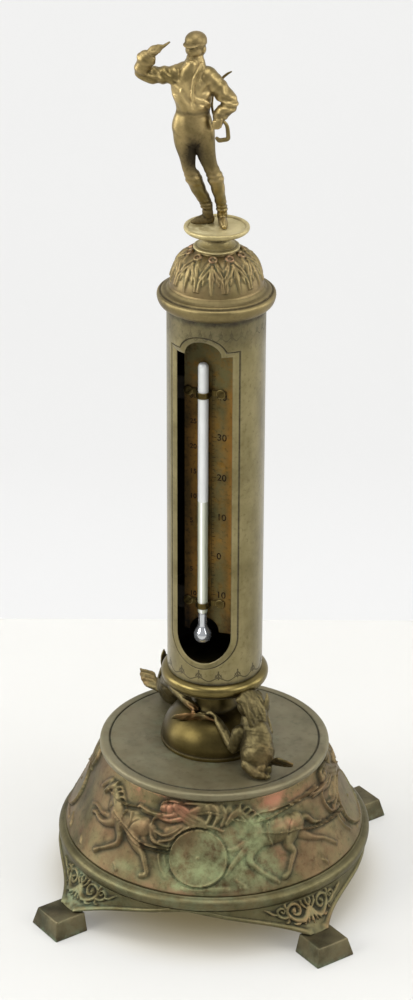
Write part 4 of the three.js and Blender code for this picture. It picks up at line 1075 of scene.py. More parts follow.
@dataclass
class Feet:
    """Four square blocks, wider at the table, on the diagonals."""

    palette: Palette
    reach: float = 64.0
    height: float = 6.6
    top: float = 5.9
    bottom: float = 7.62
    depth: float = 6.35
    lean: float = 0.75
    corner: float = 0.45
    names: tuple = (("front_left", 225), ("front_right", 315), ("back_right", 45), ("back_left", 135))

    def block(self) -> Surface:
        """A foot at the origin: round-edged square loops that narrow upwards and lean inwards."""
        z = np.array([0.02, 0.12, 0.3, 0.55, 2, 4, 6.05, 6.3, 6.48, 6.58])
        inset = np.array([0.35, 0.12, 0.02, 0, 0, 0, 0, 0.03, 0.14, 0.36])
        up = z / self.height
        across = self.bottom + (self.top - self.bottom) * up - inset
        depth = self.depth - self.lean * up - inset
        square = rounded_square(1, self.corner / self.bottom)
        rows = [
            np.column_stack([square[:, 0] * d - self.lean * u, square[:, 1] * h, np.full(48, level)])
            for h, d, u, level in zip(across, depth, up, z)
        ]
        loops = np.stack(rows)
        centre = loops[..., 0] + self.lean * up[:, None]
        corner = np.abs(np.abs(centre) / depth[:, None] - np.abs(loops[..., 1]) / across[:, None])
        edge = swell(corner, 0, 0.11) + swell(z[:, None], 6.3, 0.4) * 0.8
        low = swell(z[:, None], 0, 0.7) * np.ones_like(edge)
        return loft(loops, {"wear": held(edge), "grime": held(low * 0.7), "green": held(low + 0.15)})

    def build(self) -> None:
        """Makes the four feet."""
        for name, angle in self.names:
            a = math.radians(angle)
            solid = self.block().placed((self.reach * math.cos(a), self.reach * math.sin(a), 0), a)
            piece(f"foot_{name}", solid, [self.palette["foot_bronze"]], Body.STAND,
                  (f"{name}_foot",), 50)


@dataclass
class Plinth:
    """The skirt under the base ring: its lower edge arches between four legs and carries a raised rib."""

    palette: Palette
    top: float = 16.9
    top_radius: float = 53.2
    leg_reach: float = 60.9
    leg_half: float = 3.5
    middle_drop: float = 0.6
    leg_drop: float = 10.2
    wall: float = 2.6
    pad: float = 3.0
    rib: float = 0.8
    rib_width: float = 1.6
    turns: int = 960
    rows: int = 54
    inner_rows: int = 8
    # powers of the share: the lower edge's splay and drop, and the skirt's flare on its way down
    splay: float = 5.6
    dip: float = 1.25
    flare: float = 1.5

    def foliage(self, along: Array, down: Array) -> Array:
        """Heights of the scrolls beside a leg.

        Args:
            along: Distance from the leg's middle round the skirt, in millimetres.
            down: Distance below the skirt's upper edge, in millimetres.
        Returns:
            The heights.
        """
        r = Relief(along, down)
        for path, widths in (
            ([(0, 3.0), (1.3, 5.0), (3.6, 6.2), (6.2, 5.7), (7.9, 3.9), (7.7, 2.0), (6.0, 1.0), (4.2, 1.5),
              (3.4, 3.0), (4.3, 4.4), (5.7, 4.2), (6.1, 3.1), (5.3, 2.7)],
             (0.5, 0.62, 0.72, 0.7, 0.62, 0.6, 0.55, 0.5, 0.5, 0.48, 0.45, 0.4, 0.4)),
            ([(7.6, 4.6), (9.3, 4.9), (11, 4), (11.4, 2.5), (10.3, 1.5), (9.1, 2), (9.3, 3.2), (10.1, 3)],
             (0.35, 0.5, 0.55, 0.5, 0.45, 0.4, 0.38, 0.35)),
            ([(11.2, 3.6), (13.0, 3.1), (14.4, 2.0), (15.6, 1.2)], (0.3, 0.5, 0.4, 0.15)),
            ([(0, 2.6), (0, 5.0), (0, 7.6)], (0.45, 0.8, 0.25)),
            ([(0.2, 3.6), (1.1, 5.4), (1.9, 7.2)], (0.35, 0.6, 0.2)),
            ([(0.6, 3.4), (2.2, 5.6), (3.3, 7.2)], (0.3, 0.5, 0.2)),
            ([(0, 2.8), (0.9, 1.6), (0.8, 0.7)], (0.4, 0.5, 0.25)),
            ([(1.2, 3.4), (2.4, 2.0), (2.6, 0.8)], (0.3, 0.5, 0.25)),
            ([(7.9, 2.2), (8.6, 1.2), (8.5, 0.5)], (0.3, 0.5, 0.2)),
            ([(4.6, 6.3), (5.4, 7.0), (6.6, 7.0)], (0.3, 0.45, 0.2)),
            ([(8.0, 5.0), (8.3, 6.2), (9.2, 6.6)], (0.3, 0.4, 0.15)),
        ):
            r.sweep(path, widths, 0.8)
        r.disc((5.6, 3.1), 0.75, 0.8, 0.2, 0.3)
        r.disc((10.0, 2.8), 0.55, 0.75, 0.2, 0.3)
        return r.height

    def surface(self) -> Surface:
        """The skirt.

        share runs from 0 halfway between legs to 1 at a leg. The lower edge goes out from the top's radius
        to the leg's by share^splay and down from the middle's drop to the leg's by share^dip. A point down
        the outside lies at radius top + (edge - top) * down^flare. The inside follows at the wall's
        thickness.

        Returns:
            A closed surface with marks.
        """
        angle = circle(self.turns)
        half = math.radians(self.leg_half)
        away = np.abs(angle % (math.pi / 2) - math.pi / 4)[:, None]
        share = held(1 - (away - half) / (math.pi / 4 - half))
        reach = share**self.splay
        edge = self.top_radius + (self.leg_reach - self.top_radius) * reach
        drop = self.middle_drop + (self.leg_drop - self.middle_drop) * share**self.dip
        down = np.linspace(0, 1, self.rows)[None]
        radius = self.top_radius + (edge - self.top_radius) * down**self.flare
        low = drop * down
        rise = self.foliage(away * radius, low)
        room = smooth_steps(drop - low, self.rib_width, self.rib_width + 0.5) * smooth_steps(low, 0.1, 0.5)
        rise = rise * room
        rib = self.rib * np.minimum(1, drop / (2 * self.rib_width))
        gap = (drop - low - self.rib_width / 2) / (self.rib_width / 2)
        bead = rib * np.sqrt(held(1 - gap**2)) * smooth_steps(drop * np.ones_like(low), 0.7, 1.6)
        bead = bead * smooth_steps(away * 57.3, self.leg_half * 0.35, self.leg_half * 1.15)
        lift = np.maximum(rise, bead)
        marks = relief_marks(lift, (3, 2), 0.22)
        radius = radius + lift
        inner = np.linspace(1, 0, self.inner_rows)[None]
        wall = self.wall + self.pad * reach
        radius_in = self.top_radius + (edge - self.top_radius) * inner**self.flare - wall
        low_in = drop * inner
        every = np.concatenate([radius, radius_in], axis=1)
        height = self.top - np.concatenate([low, low_in], axis=1)
        a = angle[:, None]
        points = np.stack([every * np.cos(a), every * np.sin(a), height], axis=-1).reshape(-1, 3)
        blank = np.zeros((self.turns, self.inner_rows))
        values = {n: np.concatenate([v, blank], axis=1).ravel() for n, v in marks.items()}
        front = swell(angle[:, None], 5 * math.pi / 4, 0.3)
        green = np.concatenate([(0.12 + 0.5 * front) * np.ones_like(low), blank], axis=1)
        values["green"] = green.ravel()
        right = swell(angle[:, None], 7 * math.pi / 4, 0.35)
        values["copper"] = np.concatenate([held(marks["wear"] * right * 1.1 + 0.06), blank], axis=1).ravel()
        faces = grid_faces(self.turns, every.shape[1], True, True)
        return Surface(points, [faces], [0], values).facing_out()

    def build(self) -> None:
        """Makes the skirt."""
        piece("plinth_skirt", self.surface(), [self.palette["plinth_bronze"]], Body.STAND,
              ("plinth_frame",))


@dataclass
class BaseRing:
    """The plain rounded moulding between the plinth and the drum."""

    palette: Palette
    foot: float = 17.0
    radius: float = 53.8
    bore: float = 47.0

    def build(self) -> None:
        """Turns the moulding: one full round that leans in under the drum."""
        f, r = self.foot, self.radius
        line = Outline(self.bore, f).line(53.0, f).bend((r, f + 0.3), (r, f + 2.0))
        line.bend((r, f + 3.6), (51.9, f + 4.1)).line(51.5, f + 4.4).line(self.bore, f + 4.4)
        line.line(self.bore, f)
        turned = lathe(line.points(0.25), 320)
        a = np.arctan2(turned.points[:, 1], turned.points[:, 0])
        turned.marks["green"] = swell(a, -1.6, math.sqrt(0.5)) * 0.35
        turned.marks["copper"] = swell(a, -1.4, math.sqrt(0.1)) * 0.3
        piece("base_moulding", turned, [self.palette["plinth_bronze"]], Body.STAND,
              ("base_ring",))


@dataclass
class FriezeDrum:
    """The flared drum with a race of two-horse chariots in relief, one to each quarter."""

    palette: Palette
    foot: float = 21.5
    top: float = 50.4
    foot_radius: float = 51.4
    top_radius: float = 37.8
    flare: tuple = (43.9, 35.95)
    turns: int = 864
    rows: int = 88
    wheel: float = -87.0
    wheel_height: float = 32.9
    wheel_radius: float = 9.2
    slope: float = 1.12
    # millimetres along the drum to a degree, and the degrees beside its wheel that a chariot fills
    scale: float = 0.8
    span: tuple = (-95, 30)

    def sheet(self, x: Array, z: Array) -> tuple:
        """An empty relief, and a function that raises a smooth stroke through (degrees, height) rows."""
        r = Relief(x, z)

        def stroke(rows, widths, rise, blend=0.35) -> None:
            """Raises one smooth stroke."""
            r.sweep([(a * self.scale, b) for a, b in rows], widths, rise, blend, 0.1)

        return r, stroke

    def team(self, x: Array, z: Array) -> Array:
        """A pair of horses at full stretch before their chariot, one a little ahead, towards smaller x."""
        r, stroke = self.sheet(x, z)
        stroke([(-52, 40.2), (-60, 40.0), (-69, 40.6)], (2.6, 2.6, 2.4), 0.7)
        stroke([(-69, 42), (-73, 45.2), (-76, 47.2)], (2.2, 1.8, 1.4), 0.75)
        stroke([(-76, 47.6), (-79.5, 46.2), (-82, 44.2)], (1.35, 1.05, 0.7), 0.85)
        stroke([(-68, 37.6), (-74, 35.6), (-79, 35.4)], (1.3, 0.8, 0.5), 0.6)
        stroke([(-44, 37), (-40, 34.2), (-35.5, 32.2), (-31, 30.6), (-25.5, 27)],
               (2.4, 1.4, 0.85, 0.6, 0.65), 0.8)
        stroke([(-41, 40.2), (-37, 39.4), (-34, 37), (-29.5, 35.8)], (0.9, 1.2, 0.9, 0.3), 0.85)
        stroke([(-43, 39.4), (-50, 38.4), (-57, 38.2), (-64, 38.6)], (3.3, 3.1, 3.1, 3.4), 1.25)
        stroke([(-43.5, 39.2), (-47.5, 39.0)], (3.2, 3.6), 1.4)
        stroke([(-61.5, 38.4), (-65, 39.4)], (3.3, 3.4), 1.4)
        stroke([(-64, 40.6), (-68, 43.8), (-71.5, 46.4)], (3.0, 2.3, 1.8), 1.35)
        stroke([(-71.6, 46.8), (-75, 45.6), (-77.6, 43.4)], (1.7, 1.25, 0.8), 1.45)
        stroke([(-71, 47.8), (-70.2, 49.2)], (0.5, 0.2), 1.3)
        stroke([(-64, 37), (-67.6, 34.2), (-68.2, 31.4), (-66, 29.2), (-61.6, 26.2), (-59.4, 24.8)],
               (2.6, 1.7, 1.15, 0.85, 0.75, 0.95), 1.25)
        stroke([(-67, 37), (-71.5, 34), (-75.4, 31.2), (-79, 28.2)], (2.0, 1.15, 0.85, 0.85), 1.0)
        stroke([(-47, 37.4), (-50.4, 34.2), (-48.4, 31.4), (-50.6, 28.6), (-53, 25.6), (-55, 24.8)],
               (3.0, 1.8, 1.1, 0.8, 0.75, 0.95), 1.25)
        for a, b in ((-65.4, 45.2), (-67.4, 46.6), (-69.2, 47.8), (-63.6, 43.6)):
            stroke([(a, b - 0.6), (a + 2.0, b + 0.2), (a + 4.0, b - 0.6)], (0.6, 0.5, 0.12), 1.2)
        stroke([(-62, 39.6), (-52, 37.8), (-44, 37.2), (-34, 35.2), (-12, 33.4)], (0.32,) * 5, 1.75)
        stroke([(-58.6, 42), (-59.4, 38.4), (-58.2, 35.2)], (0.42,) * 3, 1.7)
        stroke([(-75, 44.6), (-62, 43.0), (-50, 44.3), (-38, 45.3), (-24, 45.6)], (0.28,) * 5, 1.5)
        stroke([(-78, 45.6), (-50, 45.3), (-24, 46.3)], (0.22,) * 3, 0.55)
        return r.height

    def gathered_team(self, x: Array, z: Array) -> Array:
        """A pair of horses closer to their chariot, forelegs thrown out, heads up."""
        r, stroke = self.sheet(x, z)
        stroke([(-32, 40.4), (-40, 40.0), (-47, 40.8)], (2.6, 2.5, 2.4), 0.7)
        stroke([(-46, 42.2), (-50.5, 45), (-54, 46.6)], (2.2, 1.8, 1.4), 0.75)
        stroke([(-54, 46.8), (-57.5, 45.2), (-60, 43.2)], (1.35, 1.05, 0.7), 0.85)
        stroke([(-46, 37.4), (-52, 36.6), (-58, 37.2), (-62, 36.2)], (1.3, 0.8, 0.55, 0.5), 0.65)
        stroke([(-27, 37), (-23.4, 34.4), (-18, 33.2)], (1.8, 1.0, 0.6), 0.65)
        stroke([(-24.6, 40.4), (-21.4, 39.4), (-19.4, 37)], (0.9, 1.1, 0.35), 0.9)
        stroke([(-26.4, 39.2), (-32, 38.4), (-38, 38.2), (-43, 38.8)], (3.2, 3.2, 3.0, 3.2), 1.25)
        stroke([(-26.6, 39), (-30.4, 38.8)], (3.1, 3.6), 1.4)
        stroke([(-40, 38.6), (-43.4, 39.6)], (3.1, 3.2), 1.35)
        stroke([(-42.4, 40.6), (-46.4, 43.6), (-49.4, 45.8)], (2.9, 2.2, 1.7), 1.3)
        stroke([(-49.6, 46.4), (-53, 45), (-55.6, 42.8)], (1.6, 1.2, 0.8), 1.4)
        stroke([(-49, 47.4), (-48.2, 48.8)], (0.5, 0.2), 1.3)
        stroke([(-43, 36.8), (-47, 35), (-51.6, 34.4), (-56, 35.2), (-58.6, 34.6)],
               (2.0, 1.25, 0.85, 0.65, 0.85), 1.1)
        stroke([(-39, 36.6), (-37.2, 33.6), (-37.4, 31.2), (-41.4, 28.9), (-45.6, 26.8), (-47.6, 25.6)],
               (2.4, 1.5, 1.0, 0.8, 0.7, 0.95), 1.2)
        stroke([(-31, 36.2), (-27.6, 33.2), (-24.2, 31.2), (-22.2, 28.6), (-20.6, 25.8), (-22.6, 24.8)],
               (3.0, 1.9, 1.1, 0.8, 0.75, 0.95), 1.25)
        for a, b in ((-43.6, 44.8), (-45.4, 46.2), (-47.2, 47.2), (-41.8, 43.2)):
            stroke([(a, b - 0.6), (a + 2.0, b + 0.2), (a + 4.0, b - 0.6)], (0.6, 0.5, 0.12), 1.2)
        stroke([(-44, 39.8), (-38, 38.2), (-32, 36.4), (-25, 34.4), (-12, 34.4)], (0.32,) * 5, 1.75)
        stroke([(-42, 38.2), (-36, 36.8), (-27, 33.4), (-12, 33.2)], (0.25,) * 4, 1.6)
        stroke([(-37.4, 41.8), (-38.2, 38.6), (-37.2, 35.4)], (0.42,) * 3, 1.7)
        stroke([(-53, 44.2), (-41, 43.4), (-31, 44.6)], (0.28,) * 3, 1.5)
        stroke([(-34, 42.2), (-33, 39.6), (-34, 37.2)], (0.55, 0.7, 0.3), 1.65)
        return r.height

    def driver(self, x: Array, z: Array) -> Array:
        """The car with its far wheel and rails, and the cloaked driver who leans over the reins."""
        r, stroke = self.sheet(x, z)
        stroke([(-14.6, 37.6), (-16.8, 33), (-15.4, 29), (-12.4, 26)], (0.5,) * 4, 0.5)
        stroke([(-12.8, 36.6), (-14.4, 33), (-13.2, 29.6)], (0.35,) * 3, 0.42)
        stroke([(-14, 39), (-6, 40.6), (4, 40.6)], (2.2, 2.6, 2.0), 0.5)
        stroke([(-23, 39.8), (-20.8, 36.2), (-15.4, 35.2), (-11, 35.4)], (0.6, 0.75, 0.65, 0.5), 0.95)
        stroke([(-20, 38.9), (-16, 38.3), (-12, 39.6), (-8.6, 41.6)], (0.5, 0.6, 0.5, 0.4), 1.15)
        stroke([(-17.6, 36.3), (-12, 37.6), (-8, 40.3), (-3, 42.3), (5, 42.6), (10.5, 41.2)],
               (0.5,) * 6, 1.05)
        stroke([(-22.6, 39.8), (-22, 42.6), (-17.6, 43.8)], (0.5,) * 3, 0.85)
        stroke([(1, 42.8), (-4, 44.2), (-9, 46.4), (-12.4, 47.4)], (2.2, 2.4, 2.2, 1.9), 1.3)
        stroke([(-14.6, 46.8), (-17.6, 46.6)], (1.9, 1.75), 1.5)
        stroke([(-19.4, 45.8), (-18.6, 48.2), (-14.6, 49.2), (-8, 49.0)], (0.4, 0.5, 0.5, 0.35), 1.55)
        stroke([(-11.4, 45.6), (-17, 44.4), (-24, 44.2), (-31, 45)], (1.2, 0.95, 0.7, 0.6), 1.25)
        stroke([(-8.4, 44.4), (-15, 43.0), (-22, 43.6), (-29, 43.8)], (1.0, 0.75, 0.55, 0.5), 1.0)
        stroke([(-4, 46.6), (2, 48.0), (8, 47.6), (12, 45)], (1.3, 1.9, 1.8, 0.7), 0.95)
        for a in (3.2, 6.8, 10.4):
            stroke([(a, 48.9), (a + 1.5, 46), (a - 0.4, 43)], (0.7, 0.85, 0.6), 1.3)
        stroke([(-7.4, 49.2), (-1, 49.4), (5, 49.2)], (0.5, 0.6, 0.4), 1.0)
        stroke([(-5, 23.6), (4, 23.7), (12, 23.6)], (0.75, 0.85, 0.75), 0.4)
        for a, tall in ((16.6, 3.4), (18.6, 2.2), (-34, 1.6), (-58, 2.0), (-72, 2.6)):
            stroke([(a, 23.6), (a - 0.8, 23.6 + tall * 0.6), (a - 2.2, 23.6 + tall)], (0.5, 0.45, 0.12), 0.55)
        return r.height

    def dish(self, x: Array, z: Array) -> tuple:
        """The near wheel, a shallow dish with a thin raised rim and a small hub.

        The wheel is round on the sloping side, so its height in z is divided by the slope there.

        Returns:
            Its heights, and a mask of the points it covers.
        """
        r = Relief(x, self.wheel_height + (z - self.wheel_height) * self.slope)
        middle = (0.0, self.wheel_height)
        away = np.hypot(r.x, r.y - middle[1])
        r.disc(middle, 9.7, 0.55, 0.0, 0.4)
        bowl = 0.25 * (np.minimum(away, self.wheel_radius) / self.wheel_radius) ** 2 - 0.1
        r.height = r.height + np.where(away < self.wheel_radius, bowl, 0)
        r.ring(middle, 9.4, 0.36, 1.15)
        r.disc(middle, 0.8, 0.75, 0.15, 0.4)
        r.ring(middle, 1.9, 0.16, 0.56)
        return r.height - 0.25 * swell(away, 10.1, 0.35), away < 10.4

    def folds(self, x: Array, z: Array) -> Array:
        """Lines cut into the driver's back, arms and cloak."""
        r = Relief(x, z)
        for rows in (
            [(-2, 46.6), (4, 47.4), (10, 46.6)], [(-1, 45.2), (5, 46.2), (11, 45.4)],
            [(0, 43.8), (-5, 45.2), (-10, 47)], [(-3, 43), (-8, 44.6), (-12, 46)],
            [(-13, 45.4), (-18, 44.4)], [(-16.4, 45.2), (-16, 48)], [(-60, 40.8), (-61, 38)],
            [(-46, 41), (-48.4, 39), (-49.6, 36.6)], [(-29, 41), (-32, 39), (-33.4, 36.6)],
            [(-66, 42), (-70, 45.6)], [(-44.4, 42), (-48, 45)],
        ):
            r.cut(through(np.array([(a * self.scale, b) for a, b in rows]), 14), 0.34, 0.35)
        return r.height

    def race(self, side: Array) -> Array:
        """The relief of the whole ring: four chariots, every other one with its horses gathered close.

        Args:
            side: The drum's outline.
        Returns:
            (turns, rows) heights.
        """
        per = self.turns / 360
        local = np.arange(int(self.span[0] * per), int(self.span[1] * per))
        x = (local / per * self.scale)[:, None] + np.zeros((1, self.rows))
        z = side[:, 1][None] + np.zeros((len(local), 1))
        whole = np.zeros((self.turns, self.rows))
        car, cut = self.driver(x, z), self.folds(x, z)
        first = int(round((self.wheel + 360) * per))
        for turn, horses in enumerate((self.gathered_team, self.team, self.gathered_team, self.team)):
            at = (first + turn * self.turns // 4 + local) % self.turns
            raised = np.maximum(car, horses(x, z))
            raised = raised + np.where(raised > 0.5, cut, 0)
            whole[at] = np.maximum(whole[at], raised)
        wheel, covers = self.dish(x, z)
        for turn in range(4):
            at = (first + turn * self.turns // 4 + local) % self.turns
            whole[at] = np.where(covers, wheel, whole[at])
        return whole

    def surface(self) -> Surface:
        """The drum: its outline turned about z, with the four chariots standing out of its outer side.

        Returns:
            A closed surface with grime, wear, bare copper and green bloom marked.
        """
        outer = Outline(self.foot_radius, self.foot)
        outer.bend(self.flare, (self.top_radius, self.top), self.rows - 1)
        side = np.concatenate(outer.stretches)
        side[0, 0] -= 0.25
        side[-1, 0] -= 0.25
        inner = np.array([
            [30.8, self.top], [30.8, 48.4], [36.6, 48.4], [41.9, 34.35], [45.2, 28.5], [49.4, self.foot],
        ])
        profile = np.concatenate([side, inner])
        turn = np.arange(self.turns) * 360 / self.turns
        whole = self.race(side)
        whole = blurred(whole, (1, 0)) * 0.3 + whole * 0.7
        z = side[:, 1][None]
        whole = whole * smooth_steps(z, self.foot + 0.6, self.foot + 1.4)
        whole = whole * smooth_steps(-z, -self.top, -self.top + 0.7)
        marks = relief_marks(whole, (4, 2), 0.3)
        lift = np.zeros((self.turns, len(profile)))
        lift[:, : self.rows] = whole
        degrees, level = ((turn + 180) % 360 - 180)[:, None], side[:, 1][None]

        def patches(even: float, spots: tuple) -> Array:
            """Soft patches, as power, degrees, width, height and tallness, over an even share."""
            each = [power * swell(degrees, at, wide) * swell(level, high, tall) for power, at, wide, high,
                    tall in spots]
            return even + sum(each)

        green = patches(0.12, (
            (1.0, -67, 10, 34, 10), (1.1, -96, 5, 28, 5), (0.8, -81, 6, 38.5, 3.4), (0.8, -85, 10, 29, 6),
            (0.9, -57, 9, 43.5, 2.8), (0.45, -58, 5, 27, 4), (0.35, -119, 9, 25, 2.2),
            (0.5, -88, 12, 23.6, 1), (0.35, 150, 30, 36, 30), (0.3, 20, 25, 30, 12),
        ))
        copper = patches(0.16, (
            (2.2, -112, 12, 48.2, 3.2), (0.9, -46, 13, 48.0, 2.6), (0.9, -44, 5, 40.6, 2),
            (1.3, -62.5, 4, 36.6, 3.2), (0.7, -101, 6, 44, 1.4), (0.4, -50, 4, 31.5, 3),
            (0.5, -92, 14, 22.5, 1.2), (0.4, -92, 5, 46, 3), (0.35, 120, 40, 36, 30),
        ))
        blank = np.zeros((self.turns, len(inner)))
        extra = {"grime": marks["grime"], "wear": marks["wear"], "green": green, "copper": copper}
        extra = {n: np.concatenate([held(v), blank], axis=1) for n, v in extra.items()}
        return lathe(profile, self.turns, lift, extra)

    def build(self) -> None:
        """Makes the drum."""
        piece("chariot_drum", self.surface(), [self.palette["frieze_bronze"]], Body.STAND,
              ("frieze_drum",), 80)


@dataclass
class TopDisc:
    """The flat disc with one turned groove, on which the column's bell stands."""

    palette: Palette
    foot: float = 50.5
    top: float = 53.5
    radius: float = 39.2
    groove: float = 35.7
    bore: float = 2.2

    def build(self) -> None:
        """Turns the disc."""
        rim = (self.top - self.foot) / 2
        line = Outline(self.bore, self.foot).line(self.radius - rim, self.foot)
        line.bend((self.radius, self.foot), (self.radius, self.foot + rim))
        line.bend((self.radius, self.top), (self.radius - rim, self.top))
        line.line(self.groove + 0.9, self.top)
        line.bend((self.groove + 0.3, self.top), (self.groove, self.top - 0.45), 7)
        line.bend((self.groove - 0.15, self.top), (self.groove - 0.5, self.top), 5)
        for radius in (30, 25, 18, 10):
            line.line(radius, self.top)
        line.line(self.bore, self.top).line(self.bore, self.foot)
        turned = lathe(line.points(0.2), 300)
        r = np.hypot(turned.points[:, 0], turned.points[:, 1])
        near = swell(r, 19.2, 1.8) * 0.5
        turned.marks["grime"] = held(turned.marks["grime"] + near)
        turned.marks["green"] = held(near + 0.1)
        piece("grooved_disc", turned, [self.palette["disc_bronze"]], Body.STAND, ("top_disc",))


@dataclass
class Pedestal:
    """The bell, its waisted neck and the round moulding under the column."""

    palette: Palette
    bell_foot: float = 53.6
    bell_top: float = 76.5
    ring_foot: float = 76.6
    bore: float = 2.2
    bore_end: float = 84.9
    spigot: float = 14.7
    spigot_top: float = 86.8

    def bell(self) -> Surface:
        """The bell: a straight lip, a dome, a waist and a flare under the moulding."""
        f = self.bell_foot
        line = Outline(self.bore, f).line(18.4, f).line(18.4, f + 1.0).line(18.1, f + 1.25)
        line.swing((18.2, 61.3), (12.8, 65.85), (8.35, 67.0), 30)
        line.bend((7.2, 68.15), (7.2, 71.75)).bend((7.2, 75.36), (10.8, 75.36))
        line.line(10.8, self.bell_top).line(self.bore, self.bell_top).line(self.bore, f)
        return lathe(line.points(0.15), 240)

    def moulding(self) -> Surface:
        """The moulding: a bead, a quirk, a full round and the spigot that enters the column."""
        f = self.ring_foot
        line = Outline(self.bore, f).line(14.96, f).bend((17.04, f), (17.04, f + 0.75)).line(16.7, f + 1.04)
        line.bend((18.1, f + 1.04), (18.1, f + 3.0)).bend((18.1, f + 4.7), (16.2, f + 5.2))
        line.line(self.spigot, f + 5.2).line(self.spigot, self.spigot_top).line(0, self.spigot_top)
        whole = Outline(0, self.bore_end).line(self.bore, self.bore_end).line(self.bore, f)
        whole.stretches += line.stretches[1:]
        return lathe(whole.points(0.12), 240)

    def build(self) -> None:
        """Makes both pieces."""
        brass = self.palette["moulding_brass"]
        piece("bell_and_neck", self.bell(), [self.palette["bell_brass"]], Body.STAND,
              ("pedestal_bell",))
        piece("column_moulding", self.moulding(), [brass], Body.STAND, ("column_base_ring",))


@dataclass
class Column:
    """The windowed tube: a chamfered band ended by a groove frames the opening."""

    palette: Palette
    foot: float = 81.9
    top: float = 212.5
    radius: float = 16.0
    bore: float = 15.0
    half: float = 9.6
    sill: float = 89.7
    spring: float = 200.4
    rise: float = 5.0
    shoulder: float = 3.3
    turn: float = WINDOW_TURN
    layers: int = 44
    bore_layers: int = 34
    # points along the opening's round foot, one side, one shelf and the arch
    steps: tuple = (72, 90, 8, 60)
    # growth, depth, grime and wear of each line of the chamfered band
    band: tuple = (
        (0, 0.62, 0.5, 0.6), (0.1, 0.5, 0.2, 0.8), (0.3, 0.43, 0, 0.5), (0.8, 0.27, 0, 0.2),
        (1.3, 0.1, 0, 0.3), (1.55, 0.03, 0.25, 0.7), (1.68, 0.16, 0.9, 0), (1.8, 0.3, 1.0, 0),
        (1.92, 0.16, 0.9, 0), (2.05, 0.02, 0.2, 0.5), (2.2, 0, 0, 0.2),
    )

    def frame_line(self, grow: float) -> Array:
        """The opening's outline, widened evenly by grow, as (x, z) anticlockwise from its lower left side."""
        foot_steps, side_steps, shelf_steps, arch_steps = self.steps
        h, low, level = self.half + grow, self.sill + self.half, self.spring + grow
        a, b = self.half - self.shoulder + grow, self.rise + grow
        join, start = a * math.sqrt(1 - (grow / b) ** 2), math.asin(grow / b)
        t, u = run(math.pi, 2 * math.pi, foot_steps), run(start, math.pi - start, arch_steps)
        side, shelf = run(0, 1, side_steps) * (level - low), run(0, 1, shelf_steps) * (join - h)
        upright, flat = np.full(side_steps, h), np.full(shelf_steps, level)
        x = [h * np.cos(t), upright, h + shelf, a * np.cos(u), -join + shelf, -upright]
        z = [low + h * np.sin(t), low + side, flat, self.spring + b * np.sin(u), flat, level - side]
        return np.stack([np.concatenate(x), np.concatenate(z)], axis=1)

    def sheet_edge(self) -> Array:
        """The unrolled tube's border, point for point with the opening's outline, as (arc, z)."""
        foot_steps, side_steps, shelf_steps, arch_steps = self.steps
        head_steps = arch_steps + 2 * shelf_steps
        w, up = math.pi * self.radius, run(0, 1, side_steps) * (self.top - self.foot)
        x = [run(-w, w, foot_steps), np.full(side_steps, w), run(w, -w, head_steps), np.full(side_steps, -w)]
        z = [np.full(foot_steps, self.foot), self.foot + up, np.full(head_steps, self.top), self.top - up]
        return np.stack([np.concatenate(x), np.concatenate(z)], axis=1)

    def unrolled(self, line: Array, radius: float) -> Array:
        """An (x, z) line on a cylinder as (arc, z) on the flat sheet of the tube's outer side."""
        return np.stack([self.radius * np.arcsin(np.clip(line[:, 0] / radius, -1, 1)), line[:, 1]], axis=1)

    def rolled(self, flat: Array, radius: float) -> Array:
        """Rolls (arc, z) onto a cylinder: the angle is arc / outer radius - 90 degrees."""
        a = flat[:, 0] / self.radius - math.pi / 2
        return np.stack([radius * np.cos(a), radius * np.sin(a), flat[:, 1]], axis=-1)

    def surface(self) -> Surface:
        """The tube.

        Outlines of the opening widened step by step make the chamfered band and its groove; the sheet
        between the last one and the unrolled border is filled by straight blends of the two, then rolled
        up. The bore is the same sheet at the inner radius, and the reveal joins the two at the opening.

        Returns:
            A closed surface: coat 0 outside, coat 1 in the bore.
        """
        band = np.array(self.band)
        outer = [
            self.rolled(self.unrolled(self.frame_line(grow), self.radius), self.radius - depth)
            for grow, depth in band[:, :2]
        ]
        near, far = self.unrolled(self.frame_line(band[-1, 0]), self.radius), self.sheet_edge()
        shares = (np.arange(1, self.layers + 1) / self.layers) ** 1.15
        outer += [self.rolled(near * (1 - share) + far * share, self.radius) for share in shares]
        near = self.unrolled(self.frame_line(0), self.bore)
        shares = np.linspace(1, 0, self.bore_layers)
        inner = [self.rolled(near * (1 - share) + far * share, self.bore) for share in shares]
        count, total = len(near), len(inner) + len(outer)
        points = np.concatenate(inner + outer)
        walls = grid_faces(total, count, False, True)
        layer = walls.min(axis=1) // count
        bore_faces, skin = walls[layer < len(inner) - 1], walls[layer >= len(inner) - 1]
        first, last = np.arange(count), (total - 1) * count + np.arange(count)
        ahead = np.roll(np.arange(count), -1)
        foot_steps, side_steps, shelf_steps, arch_steps = self.steps
        head = foot_steps + side_steps
        ends = (first < foot_steps) | ((first >= head) & (first < head + arch_steps + 2 * shelf_steps))
        rim = np.stack([first, last, last[ahead], first[ahead]], axis=1)[ends]
        z = points[:, 2]
        values = {
            name: np.repeat(np.concatenate([np.zeros(len(inner)), share, np.zeros(self.layers)]), count)
            for name, share in (("grime", band[:, 2]), ("wear", band[:, 3]))
        }
        # grime at the tube's two joints, plus painted shade from the cap: the tube darkens from 13 mm below
        # its top to full at 5 mm below; green follows the same places
        belt = swell(z, self.foot, 0.9) + 0.8 * swell(z, self.top, 1.2)
        belt += 0.5 * smooth_steps(z, self.top - 13, self.top - 5)
        values["grime"] = held(values["grime"] + belt)
        values["green"] = held(belt * 0.6 + values["grime"] * 0.3)
        return Surface(points, [bore_faces, skin, rim], [1, 0, 0], values).facing_out().placed(turn=self.turn)

    def build(self) -> None:
        """Makes the tube."""
        # the bore's finish is tarnished brass darkened to near black as painted shade
        finishes = [self.palette["column_brass"], self.palette["bore_tarnish_and_shade"]]
        piece("windowed_tube", self.surface(), finishes, Body.STAND, ("column_tube",), 50)


